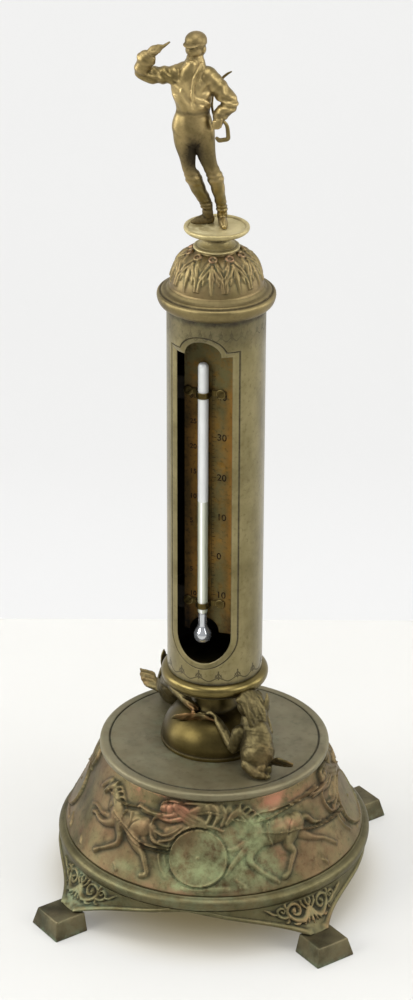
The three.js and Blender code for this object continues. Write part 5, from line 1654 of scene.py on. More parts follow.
@dataclass
class Thermometer:
    """The scale plate with its numerals, the glass with its bulb, and the clips and screws that hold it."""

    palette: Palette
    turn: float = WINDOW_TURN
    half: float = 9.3
    front: float = -4.3
    back: float = -3.5
    foot: float = 96.1
    head: float = 203.1
    notch: float = 5.05
    bore_x: float = -2.35
    stem_y: float = -6.35
    stem_radius: float = 1.75
    stem_foot: float = 104.1
    stem_head: float = 194.5
    clip_heights: tuple = (("upper", 183.5), ("lower", 107.1))
    screw_xs: tuple = (("left", -7.85), ("right", 3.15))
    zero: float = 124.6
    ten: float = 14.4
    fine_zero: float = 127.6
    fine_one: float = 1.8
    bare_end: float = 12.0
    slot_depth: float = 0.32

    def plate(self) -> Surface:
        """The plate: between its lower edge, notched round the bulb, and its arched upper edge.

        Returns:
            A closed slab, as rows of closed loops round its thickness.
        """
        t = np.linspace(0, math.pi, 121)
        x = -self.half * np.cos(t)
        edge = np.array([self.bore_x - self.notch, self.bore_x + self.notch])
        x = np.unique(np.concatenate([x, edge, edge + 0.02, edge - 0.02]))
        away = np.clip(1 - ((x - self.bore_x) / self.notch) ** 2, 0, None)
        low = self.foot + self.notch * np.sqrt(away)
        share = np.abs(x) / self.half
        high = self.head - 4.65 * (1 - np.sqrt(held(1 - share**2.6)))
        v = np.concatenate([[0, 0.0012], np.linspace(0.004, 0.996, 60), [0.9988, 1]])
        inset = 0.12 * (1 - np.minimum(1, np.minimum(v, 1 - v) / 0.003))
        up = low[:, None] + (high - low)[:, None] * v[None]
        front = np.stack(np.broadcast_arrays(x[:, None], self.front + inset[None], up), axis=-1)
        back = np.stack(np.broadcast_arrays(x[:, None], np.array([[self.back]]), up[:, ::-1]), axis=-1)
        loops = np.concatenate([front, back], axis=1)
        n = loops.shape[1]
        flat = Surface(loops.reshape(-1, 3), [grid_faces(len(x), n, False, True)])
        sides = []
        for row in (0, len(x) - 1):
            base = row * n
            k = np.arange(len(v) - 1)
            sides.append(np.stack([base + k, base + k + 1, base + n - 2 - k, base + n - 1 - k], axis=1))
        flat.faces += [sides[0], sides[1][:, ::-1]]
        flat.coats = [0, 0, 0]
        x, _, z = flat.points.T
        # partly a brown stain, partly painted shadow of the window's edges: darkest down the plate's left
        # side, less along its right side, its foot and its head
        stain_and_edge_shadow = 0.75 * swell(x, -8.8, 2.2) + 0.8 * swell(z, self.foot, 8)
        stain_and_edge_shadow += 0.5 * swell(x, 9.2, 0.8) + 0.5 * swell(z, self.head, 5)
        flat.marks["grime"] = held(stain_and_edge_shadow * 0.8)
        flat.marks["copper"] = held(0.9 * swell(x, 6.9, 1.5) + 0.5 * swell(x, -6.2, 1.2))
        flat.marks["green"] = held(0.8 * swell(x, 2.6, 2.4) + smooth_steps(z, self.head - 26, self.head - 8))
        return flat.facing_out().placed(turn=self.turn)

    def ticks(self) -> Surface:
        """The scales' lines: thin flat strips, one to each degree, longer at every fifth and tenth."""
        rows = []
        rise = self.ten / 10
        for n in range(-16, 47):
            z = self.zero + n * rise
            if z < self.foot + self.bare_end or z > self.head - self.bare_end:
                continue
            length = 1.45 if n % 10 == 0 else (1.2 if n % 5 == 0 else 0.8)
            rows.append((0.05, length, z, 0.13 if n % 5 else 0.18))
        for n in range(-14, 40):
            z = self.fine_zero + n * self.fine_one
            if z < self.foot + self.bare_end or z > self.head - self.bare_end:
                continue
            length = 0.8 if n % 5 == 0 else 0.45
            rows.append((-4.15 - length, length, z, 0.12 if n % 5 else 0.16))
        rows.append((-0.05, 0.1, (self.foot + self.head) / 2 + 1, self.head - self.foot - 25))
        left, length, z, tall = (np.array(c)[:, None] for c in zip(*rows))
        y0, y1 = self.front - 0.03, self.front + 0.05
        face = np.array([[0, 0, 0], [1, 0, 0], [1, 0, 1], [0, 0, 1]])
        corner = np.concatenate([face, face + [0, 1, 0]])
        x = left + length * corner[:, 0]
        y = y0 + (y1 - y0) * corner[:, 1] + 0 * left
        up = z - tall / 2 + tall * corner[:, 2]
        points = np.stack([x, y, up], axis=-1).reshape(-1, 3)
        box = np.array([[0, 1, 2, 3], [5, 4, 7, 6], [4, 0, 3, 7], [1, 5, 6, 2], [3, 2, 6, 7], [4, 5, 1, 0]])
        faces = (box[None] + 8 * np.arange(len(rows))[:, None, None]).reshape(-1, 4)
        return Surface(points, [faces], [0]).facing_out().placed(turn=self.turn)

    def numerals(self) -> None:
        """The numbers of both scales, as one mesh of thin letters standing on the plate."""
        letters = []
        labels = [(1.75, self.zero + n * self.ten, str(abs(n * 10)), 2.45) for n in range(-1, 5)]
        five = self.fine_one * 5
        labels += [(-7.5, self.fine_zero + n * five, str(abs(n * 5)), 1.75) for n in range(-2, 7) if n]
        work = bmesh.new()
        for x, z, text, size in labels:
            if not self.foot + 10 < z < self.head - self.bare_end:
                continue
            curve = bpy.data.curves.new("numeral", "FONT")
            curve.body, curve.size, curve.extrude = text, size * 1.35 * MM, 0.03 * MM
            curve.offset = 0.06 * MM
            curve.align_y = "CENTER"
            written = linked("numeral", curve)
            mesh = evaluated(written)
            right, up, out = places_of(mesh).T
            stood = np.stack([right + x * MM, -out + (self.front - 0.01) * MM, up + z * MM], axis=1)
            c, s = math.cos(self.turn), math.sin(self.turn)
            stood[:, :2] = stood[:, :2] @ np.array([[c, -s], [s, c]]).T
            mesh.vertices.foreach_set("co", stood.ravel())
            work.from_mesh(mesh)
            letters.append((written, curve, mesh))
        whole = bpy.data.meshes.new("scale_numerals")
        bmesh.ops.remove_doubles(work, verts=work.verts, dist=1e-7)
        work.to_mesh(whole)
        work.free()
        for written, curve, mesh in letters:
            bpy.data.objects.remove(written)
            bpy.data.curves.remove(curve)
            bpy.data.meshes.remove(mesh)
        made = linked("scale_numerals", whole)
        whole.materials.append(self.palette["numeral_black"])
        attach(made, Body.STAND.value)
        log.info("scale_numerals: %d numbers", len(letters))

    def stem(self) -> Surface:
        """The glass rod: a lathe outline with a domed top and a rounded foot."""
        r = self.stem_radius
        line = Outline(0, self.stem_foot).line(1.45, self.stem_foot).bend((r, 104.3), (r, 105.9))
        for z in (125, 148, 170, 192.7):
            line.line(r, z)
        line.bend((r, 193.9), (r * 0.6, 194.35), 8).bend((r * 0.3, self.stem_head), (0, self.stem_head), 5)
        return lathe(line.points(0.05), 64).placed((self.bore_x, self.stem_y, 0)).placed(turn=self.turn)

    def bulb(self) -> Surface:
        """The bulb: a ball with a narrow neck."""
        line = Outline(0, 92.85).swing((1.7, 92.85), (2.98, 93.8), (2.98, 95.8), 22)
        line.swing((2.98, 97.6), (1.5, 98.2), (1.5, 99.9), 22).line(1.5, 103.95).line(0, 103.95)
        return lathe(line.points(0.05), 72).placed((self.bore_x, self.stem_y, 0)).placed(turn=self.turn)

    def clip(self, height: float) -> Surface:
        """A strap bent round the glass: a rounded strip section carried along its bent line."""
        r = self.stem_radius + 0.42
        y = self.front - 0.36
        t = np.linspace(math.pi, 2 * math.pi, 33)
        arc = np.stack([r * np.cos(t), self.stem_y + r * np.sin(t)], axis=1)
        left = np.array([[-7.0, y], [-5.5, y], [-3.6, y], [-r - 0.5, y], [-r - 0.05, y - 0.35]])
        line = np.concatenate([left, arc, (left * [-1, 1])[::-1]])
        at = np.linspace(0, len(line) - 1, 120)
        fine = np.stack([np.interp(at, np.arange(len(line)), values) for values in line.T], axis=1)
        flow = unit(np.gradient(fine, axis=0))
        side = np.stack([flow[:, 1], -flow[:, 0]], axis=1)
        u = circle(16)
        across = 0.2 * np.sign(np.cos(u)) * np.abs(np.cos(u)) ** 0.35
        tall = 1.05 * np.sign(np.sin(u)) * np.abs(np.sin(u)) ** 0.35
        xy = fine[:, None] + side[:, None] * across[None, :, None]
        up = np.broadcast_to(height + tall, xy.shape[:2])
        loops = np.concatenate([xy, up[..., None]], axis=2)
        wear = np.broadcast_to(np.abs(np.sin(u)) ** 6, loops.shape[:2])
        return loft(loops, {"wear": wear}).placed((self.bore_x, 0, 0)).placed(turn=self.turn)

    def screw(self, x: float, height: float) -> Surface:
        """A slotted cheese-head screw facing forwards: rings of a head whose face sinks along the slot."""
        radii, levels = np.array([
            (0.0, 0.08), (0.25, 0.08), (0.5, 0.075), (0.75, 0.07), (1.0, 0.06), (1.25, 0.05), (1.42, 0.03),
            (1.52, 0), (1.58, -0.06), (1.6, -0.14), (1.6, -0.48), (0.55, -0.49), (0.55, -2.5), (0.35, -2.65),
        ]).T
        t = circle(96)
        a, b = radii[:, None] * np.cos(t), radii[:, None] * np.sin(t)
        tilt = 0.7
        off = np.abs(-a * math.sin(tilt) + b * math.cos(tilt))
        slot = self.slot_depth * smooth_steps(-off, -0.3, -0.18) * (np.arange(len(radii)) < 10)[:, None]
        depth = levels[:, None] - slot
        seat = self.front - 0.7
        loops = np.stack([a + x, seat - depth, b + height], axis=-1)
        marks = {"grime": held(slot / self.slot_depth), "wear": swell(radii[:, None], 1.5, 0.12) + 0 * slot}
        return loft(loops, marks).placed(turn=self.turn)

    def build(self) -> None:
        """Makes the plate, its lines and numbers, the glass, the bulb, the clips and the screws."""
        p = self.palette
        piece("scale_plate_engraved", self.plate(), [p["scale_brass"]], Body.STAND,
              ("scale_plate",), 40)
        piece("scale_lines", self.ticks(), [p["numeral_black"]], Body.STAND, (), 30)
        self.numerals()
        piece("glass_rod", self.stem(), [p["opal_glass"]], Body.STAND, ("glass_stem",))
        piece("filled_bulb", self.bulb(), [p["quicksilver"]], Body.STAND, ("mercury_bulb",))
        for name, height in self.clip_heights:
            piece(f"glass_clip_{name}", self.clip(height), [p["clip_brass"]], Body.STAND,
                  (f"{name}_clip",), 50)
            for side, x in self.screw_xs:
                node = f"{name}_{side}_scale_screw"
                piece(f"scale_screw_{name}_{side}", self.screw(x, height), [p["clip_brass"]], Body.STAND,
                      (node,), 45)


@dataclass
class DomedCap:
    """The cast cap: a push-fit spigot, a rounded flange, two beads and a dome of radiating leaves."""

    palette: Palette
    foot: float = 207.6
    spigot: float = 14.7
    seat: float = 212.6
    bore: float = 13.1
    dome_foot: float = 219.7
    dome_radius: float = 15.3
    dome_height: float = 13.7
    crown_radius: float = 6.8
    hole: float = 1.9
    turns: int = 720
    rows: int = 96
    first_boss: float = -88.0
    bosses_round: int = 10
    degree: float = 0.19

    def beside(self, turn: Array) -> Array:
        """Degrees from the nearest boss's middle."""
        step = 360 / self.bosses_round
        return (turn - self.first_boss + step / 2) % step - step / 2

    def leaves(self, turn: Array, down: Array, arc: Array) -> Array:
        """Heights of the acanthus leaves: broad swellings, curved raised edges and pointed ribs.

        Args:
            turn: The angle round the dome, in degrees.
            down: Distance below the crown over the dome, in millimetres.
            arc: The dome's radius there, in millimetres.
        Returns:
            The heights.
        """
        local = self.beside(turn)
        side = np.abs(local)
        relief = Relief(side * self.degree, down)
        lens = np.concatenate([np.linspace(0.3, 0.7, 9), np.linspace(0.7, 0.2, 9)])
        for line, widths, rise in (
            ([(7.5, 3.4), (11.0, 5.6), (14.6, 9.6), (16.0, 13.8)], np.linspace(0.85, 0.4, 24), 0.5),
            ([(4.0, 5.6), (8.5, 8.2), (10.4, 11.4)], lens, 0.45),
        ):
            relief.stroke(through(np.array(line) * [self.degree, 1], len(widths)), widths, rise, 0.2)
        spike = Relief(np.radians(local) * arc, down)
        spike.stroke([(0, 4.6), (0.1, 9.0), (0.3, 14.8)], (0.6, 1.05, 0.1), 0.6, 0.2)
        leaf = 0.5 * smooth_steps(-side, -17.5, -9)
        leaf = leaf * smooth_steps(down, 2.5, 6) * smooth_steps(-down, -12.5, -6)
        lobe = 0.16 * np.cos((down - side * 0.36) * 2 * math.pi / 2.5)
        lobe = lobe * smooth_steps(down, 4, 6) * smooth_steps(-down, -12, -8)
        return np.maximum(relief.height, spike.height) + leaf + lobe * smooth_steps(side, 1.5, 5)

    def bosses(self, turn: Array, down: Array, arc: Array) -> Array:
        """Heights of the ring bosses round the crown."""
        away = np.hypot(np.radians(self.beside(turn)) * arc, down - 2.1)
        ring = 0.8 * np.sqrt(held(1 - ((away - 1.05) / 0.45) ** 2))
        return np.maximum(ring, 0.42 * np.sqrt(held(1 - (away / 0.7) ** 2)))

    def surface(self) -> Surface:
        """The cap: its outline turned about z with leaves and bosses raised on the dome.

        Returns:
            A closed surface with marks.
        """
        flange = Outline(self.bore, self.foot).line(self.spigot, self.foot)
        flange.line(self.spigot, self.seat).line(16.3, self.seat)
        flange.line(16.4, 212.8).bend((18.7, 213.2), (19.1, 216.2), 16)
        flange.bend((19.15, 217.5), (18.2, 217.6), 10).line(17.9, 217.5).line(17.75, 217.75)
        flange.bend((17.6, 218.3), (17.1, 218.3), 6).bend((16.2, 218.35), (15.9, 219.0), 6)
        flange.line(15.35, self.dome_foot)
        start = flange.points(0.15)[:-1]
        share = np.linspace(0, 1, self.rows)
        swing = share * math.acos(self.crown_radius / self.dome_radius)
        dome = np.stack([self.dome_radius * np.cos(swing), self.dome_foot + self.dome_height * np.sin(swing)],
                        axis=1)
        crown = dome[-1, 1]
        t = np.linspace(math.acos(3.6 / self.bore), 0, 12)
        inside = np.stack([self.bore * np.cos(t), 215.6 + 16.2 * np.sin(t)], axis=1)
        bore = [[self.hole + 0.5, crown], [self.hole, crown - 0.1], [self.hole, 231.1]]
        n = len(start)
        profile = np.concatenate([start, dome, bore, inside])
        turn = np.arange(self.turns) * 360 / self.turns
        a, s = np.broadcast_arrays(turn[:, None], share[None])
        arc = dome[:, 0][None] + 0 * a
        down = (1 - s) * 16.5
        bosses = self.bosses(a, down, arc)
        rise = np.maximum(self.leaves(a, down, arc), bosses)
        rise = blurred(rise * smooth_steps(down, 0.0, 0.5), (1, 0))
        lift = np.zeros((self.turns, len(profile)))
        on_dome = slice(n, n + self.rows)
        lift[:, on_dome] = rise - 0.3
        lift[:, n : n + 3] *= np.array([0, 0.4, 0.8])
        lift[:, n + self.rows - 2 : n + self.rows] = 0
        marks = relief_marks(rise, (4, 3), 0.22)
        given = profile_marks(profile, True)
        extra = {}
        for name in ("grime", "wear"):
            extra[name] = np.repeat(given[name][None], self.turns, axis=0)
            extra[name][:, on_dome] = held(extra[name][:, on_dome] * 0.3 + marks[name])
        for name, values in (("copper", 0.9 * (bosses > 0.1) + 0.25), ("green", marks["grime"] * 0.8)):
            extra[name] = np.zeros((self.turns, len(profile)))
            extra[name][:, on_dome] = values
        return lathe(profile, self.turns, lift, extra)

    def build(self) -> None:
        """Makes the cap."""
        finish = AgedMetal("cap_brass", "867853", "6e6241", "332a17", "9d8d62", clouds=85, gloss=0.36,
                           matt=0.56, wear=0.45, grime=0.75, pits=0.14, blooms=0.2, blushes=0.45,
                           blush="94695a").build()
        piece("leaf_cap", self.surface(), [finish], Body.CAP, ("domed_cap",), 80)


@dataclass
class Saucer:
    """The turned saucer under the rider."""

    palette: Palette
    foot: float = 232.07
    hole: float = 1.9
    deep: float = 3.6

    def build(self) -> None:
        """Turns the saucer: a collar, a waisted stem, a shallow bowl and a dished top with a rounded rim."""
        f = self.foot
        line = Outline(self.hole, f).line(7.1, f).bend((7.45, f), (7.45, f + 0.4))
        line.bend((7.45, f + 0.8), (6.9, f + 0.85), 8).line(6.5, f + 0.9)
        line.bend((6.3, f + 0.95), (6.1, f + 1.2), 6).bend((4.9, f + 1.7), (4.3, f + 2.7), 12)
        line.bend((3.7, f + 3.2), (3.9, f + 3.7), 8).bend((4.2, f + 4.3), (6.4, f + 4.8), 12)
        line.bend((8.6, f + 5.1), (9.7, f + 5.6), 8).bend((10.5, f + 6.0), (10.5, f + 6.7), 10)
        line.bend((10.5, f + 7.42), (9.9, f + 7.42), 8).bend((9.3, f + 7.4), (8.9, f + 6.75), 8)
        line.bend((8.0, f + 6.2), (5.25, f + 6.1), 10).line(0, f + 6.1)
        whole = Outline(0, f + self.deep).line(self.hole, f + self.deep).line(self.hole, f)
        whole.stretches += line.stretches[1:]
        turned = lathe(whole.points(0.1), 220)
        x, y, z = turned.points.T
        dish = (z > f + 6) & (np.hypot(x, y) < 9)
        turned.marks["wear"] = held(turned.marks["wear"] * 0.5 + dish * 0.8)
        turned.marks["grime"] = turned.marks["grime"] * np.where(dish, 0.25, 1)
        residue = swell(x, -5.4, 2.6) * swell(y, -1.8, 3.4)
        turned.marks["green"] = dish * held(0.3 + residue)
        piece("turned_saucer", turned, [self.palette["saucer_bronze"]], Body.FINIAL,
              ("figure_saucer",))


@dataclass
class Figure:
    """A cast figure, run together from limbs whose places and radii are thousandths of its size."""

    palette: Palette
    size: float = 1.0
    voxel: float = 0.24
    rows: int = 36

    def part(self, *stations, rows: int = 0, sides: int = 24, across=(0.0, 1.0, 0.0)) -> Surface:
        """A limb through stations of x, y, z and one or two radii."""
        shares = [tuple(v / 1000 for v in station) for station in stations]
        return limb(shares, self.size, rows or self.rows, sides, across)

    def knob(self, centre: tuple, radii: tuple) -> Surface:
        """An egg with three radii about a centre."""
        return egg(np.array(centre) / 1000, np.array(radii) / 1000, self.size)


@dataclass
class Rider(Figure):
    """The cast rider in cap, open jacket, breeches and boots, one hand raised and one on the hip."""

    size: float = 64.0
    sole: float = 238.3
    turn: float = math.pi / 20

    def figure(self) -> list:
        """The rider's limbs, as closed surfaces about the middle of the sole plane."""
        flat = (0.0, 0.0, 1.0)
        body = [
            self.part((-117, 45, 470, 90, 66), (-121, 45, 510, 101, 73), (-120, 45, 555, 93, 68),
                      (-118.5, 45, 592, 80, 60), (-117, 45, 615, 80, 58), (-118, 45, 660, 92, 60),
                      (-123.5, 45, 720, 104, 66), (-127, 45, 765, 103, 60), (-117, 46, 800, 86, 50),
                      (-108, 47, 828, 44, 40), rows=80, sides=48),
            # breeches and boots
            self.part((-166, 45, 500, 54), (-160, 42, 430, 49.5), (-146.6, 37, 371, 42.5),
                      (-137, 34, 301, 33.5), (-113.3, 46, 239, 37), (-78.5, 62, 159, 34), (-51, 75, 98, 27.5),
                      (-45, 80, 46, 27), rows=80, sides=32),
            self.part((-34, 88, 19, 23, 28), (-58, 80, 18, 23, 30), (-94, 70, 13, 20, 22),
                      (-117, 63, 10, 13, 13), across=flat),
            self.part((-70, 45, 500, 58), (-61.6, 41, 430, 52), (-52, 38, 371, 45.5), (-32, 36, 309, 36.5),
                      (-7.5, 44, 248, 38), (2, 50, 205, 34.5), (14.7, 61, 138, 29.5), (24, 71, 77, 25.5),
                      (26.5, 78, 36, 26), rows=80, sides=32),
            self.part((26, 100, 18, 22, 28), (30, 52, 17, 23, 28), (35, 16, 12, 19, 21), (37, -6, 10, 12, 13),
                      across=flat),
            # boot tops and spurs' straps
            self.part((-119, 43, 254, 40.5), (-109, 48, 232, 40.5), rows=8),
            self.part((-10.5, 43, 254, 40.5), (-5.5, 46, 236, 41), rows=8),
            self.part((-54.5, 73, 104, 31), (-50.5, 76, 94, 30.5), rows=6),
            self.part((23, 70, 86, 28.5), (24.5, 72, 76, 28.5), rows=6),
            # raised arm, cuff and hand with its stick
            self.part((-180, 45, 768, 50), (-220, 43, 771.5, 46), (-273, 32, 775, 42.5),
                      (-326, 18, 781, 41.5), (-360.5, 0, 806, 39.5), (-357.5, -15, 836, 39),
                      (-345, -26, 864, 34), rows=60, sides=32),
            self.part((-349, -22, 857, 41, 36), (-342, -28, 873, 49, 40), (-336.5, -32, 884, 43, 34),
                      rows=12),
            self.part((-334, -33, 886, 21, 20), (-320, -37, 904, 24, 20), (-302, -42, 922, 26, 19),
                      (-285, -46, 934, 19, 15)),
            *[self.part((-311 + 8.5 * k, -60 + 4 * k, 918 + 9 * k, 9.5),
                        (-293 + 7.5 * k, -66 + 4 * k, 921 + 8.5 * k, 9),
                        (-280 + 6 * k, -60 + 4 * k, 920 + 8 * k, 8), rows=12, sides=12) for k in range(4)],
            self.part((-318, -30, 910, 10), (-296, -34, 932, 9.5), (-280, -42, 938, 8), rows=12, sides=12),
            self.part((-316, -50, 904, 12.5), (-290, -52, 925, 12), (-262, -55, 943.5, 9),
                      (-230, -58, 967, 5.5), rows=30),
            # arm on the hip
            self.part((-50, 45, 765, 52), (-14.7, 43, 732, 47), (21.5, 38, 692, 44.5), (53, 30, 654, 42),
                      (60, 22, 634, 40.5), (41, 12, 611, 37), (16, 4, 590, 31), rows=60, sides=32),
            self.part((26, 6, 600, 36), (16, 3, 589, 38), (9, 0, 581, 33), rows=12),
            self.part((9, -1, 580, 25, 22), (5, -5, 556, 27, 24), (0, -6, 536, 22, 22)),
            *[self.part((18 - 1 * k, -28, 570 - 11 * k, 8.8), (-2 - 1 * k, -32, 564 - 11 * k, 8.5),
                        (-18 - 1 * k, -24, 560 - 11 * k, 7.5), rows=12, sides=12) for k in range(4)],
            # neck, stock and collar
            self.part((-110, 46, 800, 40), (-109, 46, 840, 37), (-107, 46, 880, 37)),
            self.part((-112, 44, 812, 58, 50), (-110, 43, 832, 53, 47), (-109, 43, 846, 48, 44),
                      (-109, 43, 857, 43, 40), rows=14, sides=32),
            self.part((-130, 2, 830, 12), (-128, -4, 818, 15), (-125, -6, 806, 12), rows=10),
            # jacket: hem, fronts, lapels and a band of gathers
            self.part((-117, 45, 604, 83, 64), (-117.5, 45, 630, 87.5, 67), (-119, 45, 660, 96, 68),
                      (-122, 45, 690, 100, 67), rows=30, sides=48),
            self.part((-76.6, 2, 842, 9), (-98, -18, 800, 8.5), (-113.8, -24, 762, 8.5),
                      (-119.6, -25, 685, 8.5), (-113.8, -22, 622, 8), rows=50, sides=14),
            self.part((-125, 12, 835, 34, 30), (-132, 8, 800, 50, 32), (-136, 6, 760, 55, 32),
                      (-132, 10, 700, 45, 30), rows=40, sides=32),
            self.part((-114, -18, 618, 14, 6), (-90, -14, 634, 20, 7), (-62, -4, 642, 22, 8),
                      (-40, 14, 624, 14, 10), rows=24),
            self.part((-154, -12, 720, 22, 7), (-157, -12, 700, 24, 7), (-157, -10, 680, 18, 6), rows=16),
            # belt
            self.part((-118.8, 45, 586, 83.5, 64.5), (-118.3, 45, 597, 82, 63), rows=6, sides=48),
        ]
        face = [
            self.knob((0, 0, 936), (51.5, 56, 50)),
            self.knob((0, -14, 903), (43, 42, 38)),
            self.knob((0, 12, 900), (47, 44, 40)),
            self.knob((-1, -50, 905), (8.5, 13, 16)),
            self.knob((0, -52, 898), (10.5, 8.5, 6.5)),
            self.knob((0, -46, 884.5), (16.5, 8, 4.8)),
            self.knob((0, -38, 873), (14, 12, 11)),
            self.knob((-18, -42, 920), (12.5, 9, 5)),
            self.knob((18, -42, 920), (12.5, 9, 5)),
            self.knob((-21, -37, 900), (12, 10, 11)),
            self.knob((21, -37, 900), (12, 10, 11)),
            self.knob((-47.5, 4, 905), (6.5, 12, 17)),
            self.knob((47.5, 4, 905), (6.5, 12, 17)),
            self.knob((0, 3, 945), (52.8, 58.5, 44.5)),
            self.knob((0, 3, 933.5), (54.5, 60.5, 9)),
            self.part((0, -42, 935, 45, 5.5), (0, -58, 931, 38, 5.2), (0, -69, 927, 22, 4.2), rows=16,
                      sides=32, across=flat),
        ]
        neck = (-0.1065 * self.size, 0.046 * self.size, 0)
        return body + [p.placed(neck, math.radians(-32)) for p in face]

    def creases(self, points: Array) -> Array:
        """Folds at the elbows, the waist, the knees and the ankles."""
        s = self.size
        folds = (
            ((-0.345, 0.0, 0.79), (0.7, 0, 1), 0.042, 0.22, 0.06),
            ((-0.25, 0.035, 0.775), (1, 0, 0.3), 0.045, 0.18, 0.07),
            ((-0.2, 0.02, 0.75), (0.8, 0, 0.8), 0.04, 0.16, 0.05),
            ((0.05, 0.02, 0.64), (0.3, 0, 1), 0.04, 0.22, 0.06),
            ((0.01, 0.04, 0.7), (1, 0, -0.7), 0.045, 0.16, 0.06),
            ((-0.05, 0.0, 0.7), (0.6, 0, -0.8), 0.04, 0.14, 0.05),
            ((-0.16, 0.0, 0.66), (1, 0, 0.5), 0.045, 0.13, 0.07),
            ((-0.07, 0.0, 0.65), (0.5, 0, 1), 0.04, 0.12, 0.05),
            ((-0.12, -0.01, 0.76), (1, 0, 0.15), 0.05, 0.06, 0.07),
            ((-0.13, 0.0, 0.48), (0.8, 0, 0.6), 0.06, 0.1, 0.06),
            ((-0.125, 0.045, 0.25), (0.2, 0, 1), 0.035, 0.14, 0.045),
            ((-0.02, 0.045, 0.26), (-0.2, 0, 1), 0.035, 0.14, 0.045),
            ((-0.09, 0.06, 0.18), (0.8, 0, 0.7), 0.04, 0.12, 0.05),
            ((0.01, 0.055, 0.17), (0.8, 0, -0.6), 0.04, 0.12, 0.05),
            ((-0.055, 0.07, 0.1), (0, 0, 1), 0.024, 0.14, 0.04),
            ((0.022, 0.07, 0.09), (0, 0, 1), 0.024, 0.14, 0.04),
        )
        return sum(
            ripple(points, np.array(at) * s, axis, wave * s, rise * 1.45, reach * s)
            for at, axis, wave, rise, reach in folds
        )

    def whip(self) -> Surface:
        """The whip: a thin rod bowed from its crooked handle, thicker at the grip, with a pointed end."""
        rows = np.array([
            (-1.7, 6, 465, 0.55), (6, 6, 458, 0.68), (11.8, 6, 454.5, 0.72), (30, 5, 457.5, 0.7),
            (46, 4, 460.5, 0.7), (52.8, 4, 466, 0.68), (53.5, 3, 475, 0.68), (51.8, 0, 500, 0.66),
            (49, -1, 522.5, 0.62), (42, -3, 541, 0.55), (24, -5, 561, 0.46), (4, -2, 569.5, 0.44),
            (-14, 15, 577, 0.42), (-24, 45, 597, 0.4), (-26.5, 75, 620, 0.39), (-21.5, 97, 655, 0.38),
            (-6, 107, 692, 0.37), (21.5, 110, 734, 0.42), (45, 108, 757, 0.42), (66, 104, 771, 0.24),
        ])
        stations = np.column_stack([rows[:, :3] / 1000 * self.size, rows[:, 3]])
        return limb(stations, 1.0, 150, 14, (0.2, 1.0, 0.1))

    def build(self) -> None:
        """Makes the rider and the whip."""
        p = self.palette
        man = sculpted(self.figure(), self.voxel, self.creases)
        man.points[:, 2] = np.maximum(man.points[:, 2], 0.0)
        x, _, z = man.points.T / self.size
        # painted shade between the legs, across the thighs and along the belt line under the jacket's hem;
        # the cap's top and the left boot are darkened too
        shade = 0.8 * swell(x, -0.112, 0.04) * swell(z, 0.4, 0.1) + 0.5 * swell(z, 0.594, 0.01)
        shade += 0.45 * swell(z, 0.36, 0.08) + 0.25 * smooth_steps(z, 0.88, 0.93)
        shade += 0.6 * smooth_steps(-z, -0.2, -0.03) * smooth_steps(-x, 0.01, 0.03)
        man.marks["grime"] = held(man.marks["grime"] + shade)
        # painted light: the jacket is lightened where the lamps fall on it, with a painted highlight on the
        # left thigh; both go into the wear mark
        lit = swell(x, -0.13, 0.09) * swell(z, 0.71, 0.11)
        lit += 0.3 * swell(x, -0.17, 0.03) * swell(z, 0.46, 0.06)
        man.marks["wear"] = held(man.marks["wear"] + lit)
        place = (0, 0, self.sole)
        piece("cast_rider", man.placed(place, self.turn), [p["rider_bronze"]], Body.FINIAL,
              ("jockey_figure",), 75)
        piece("bowed_whip", self.whip().placed(place, self.turn), [p["rider_bronze"]], Body.FINIAL,
              ("riding_whip",))


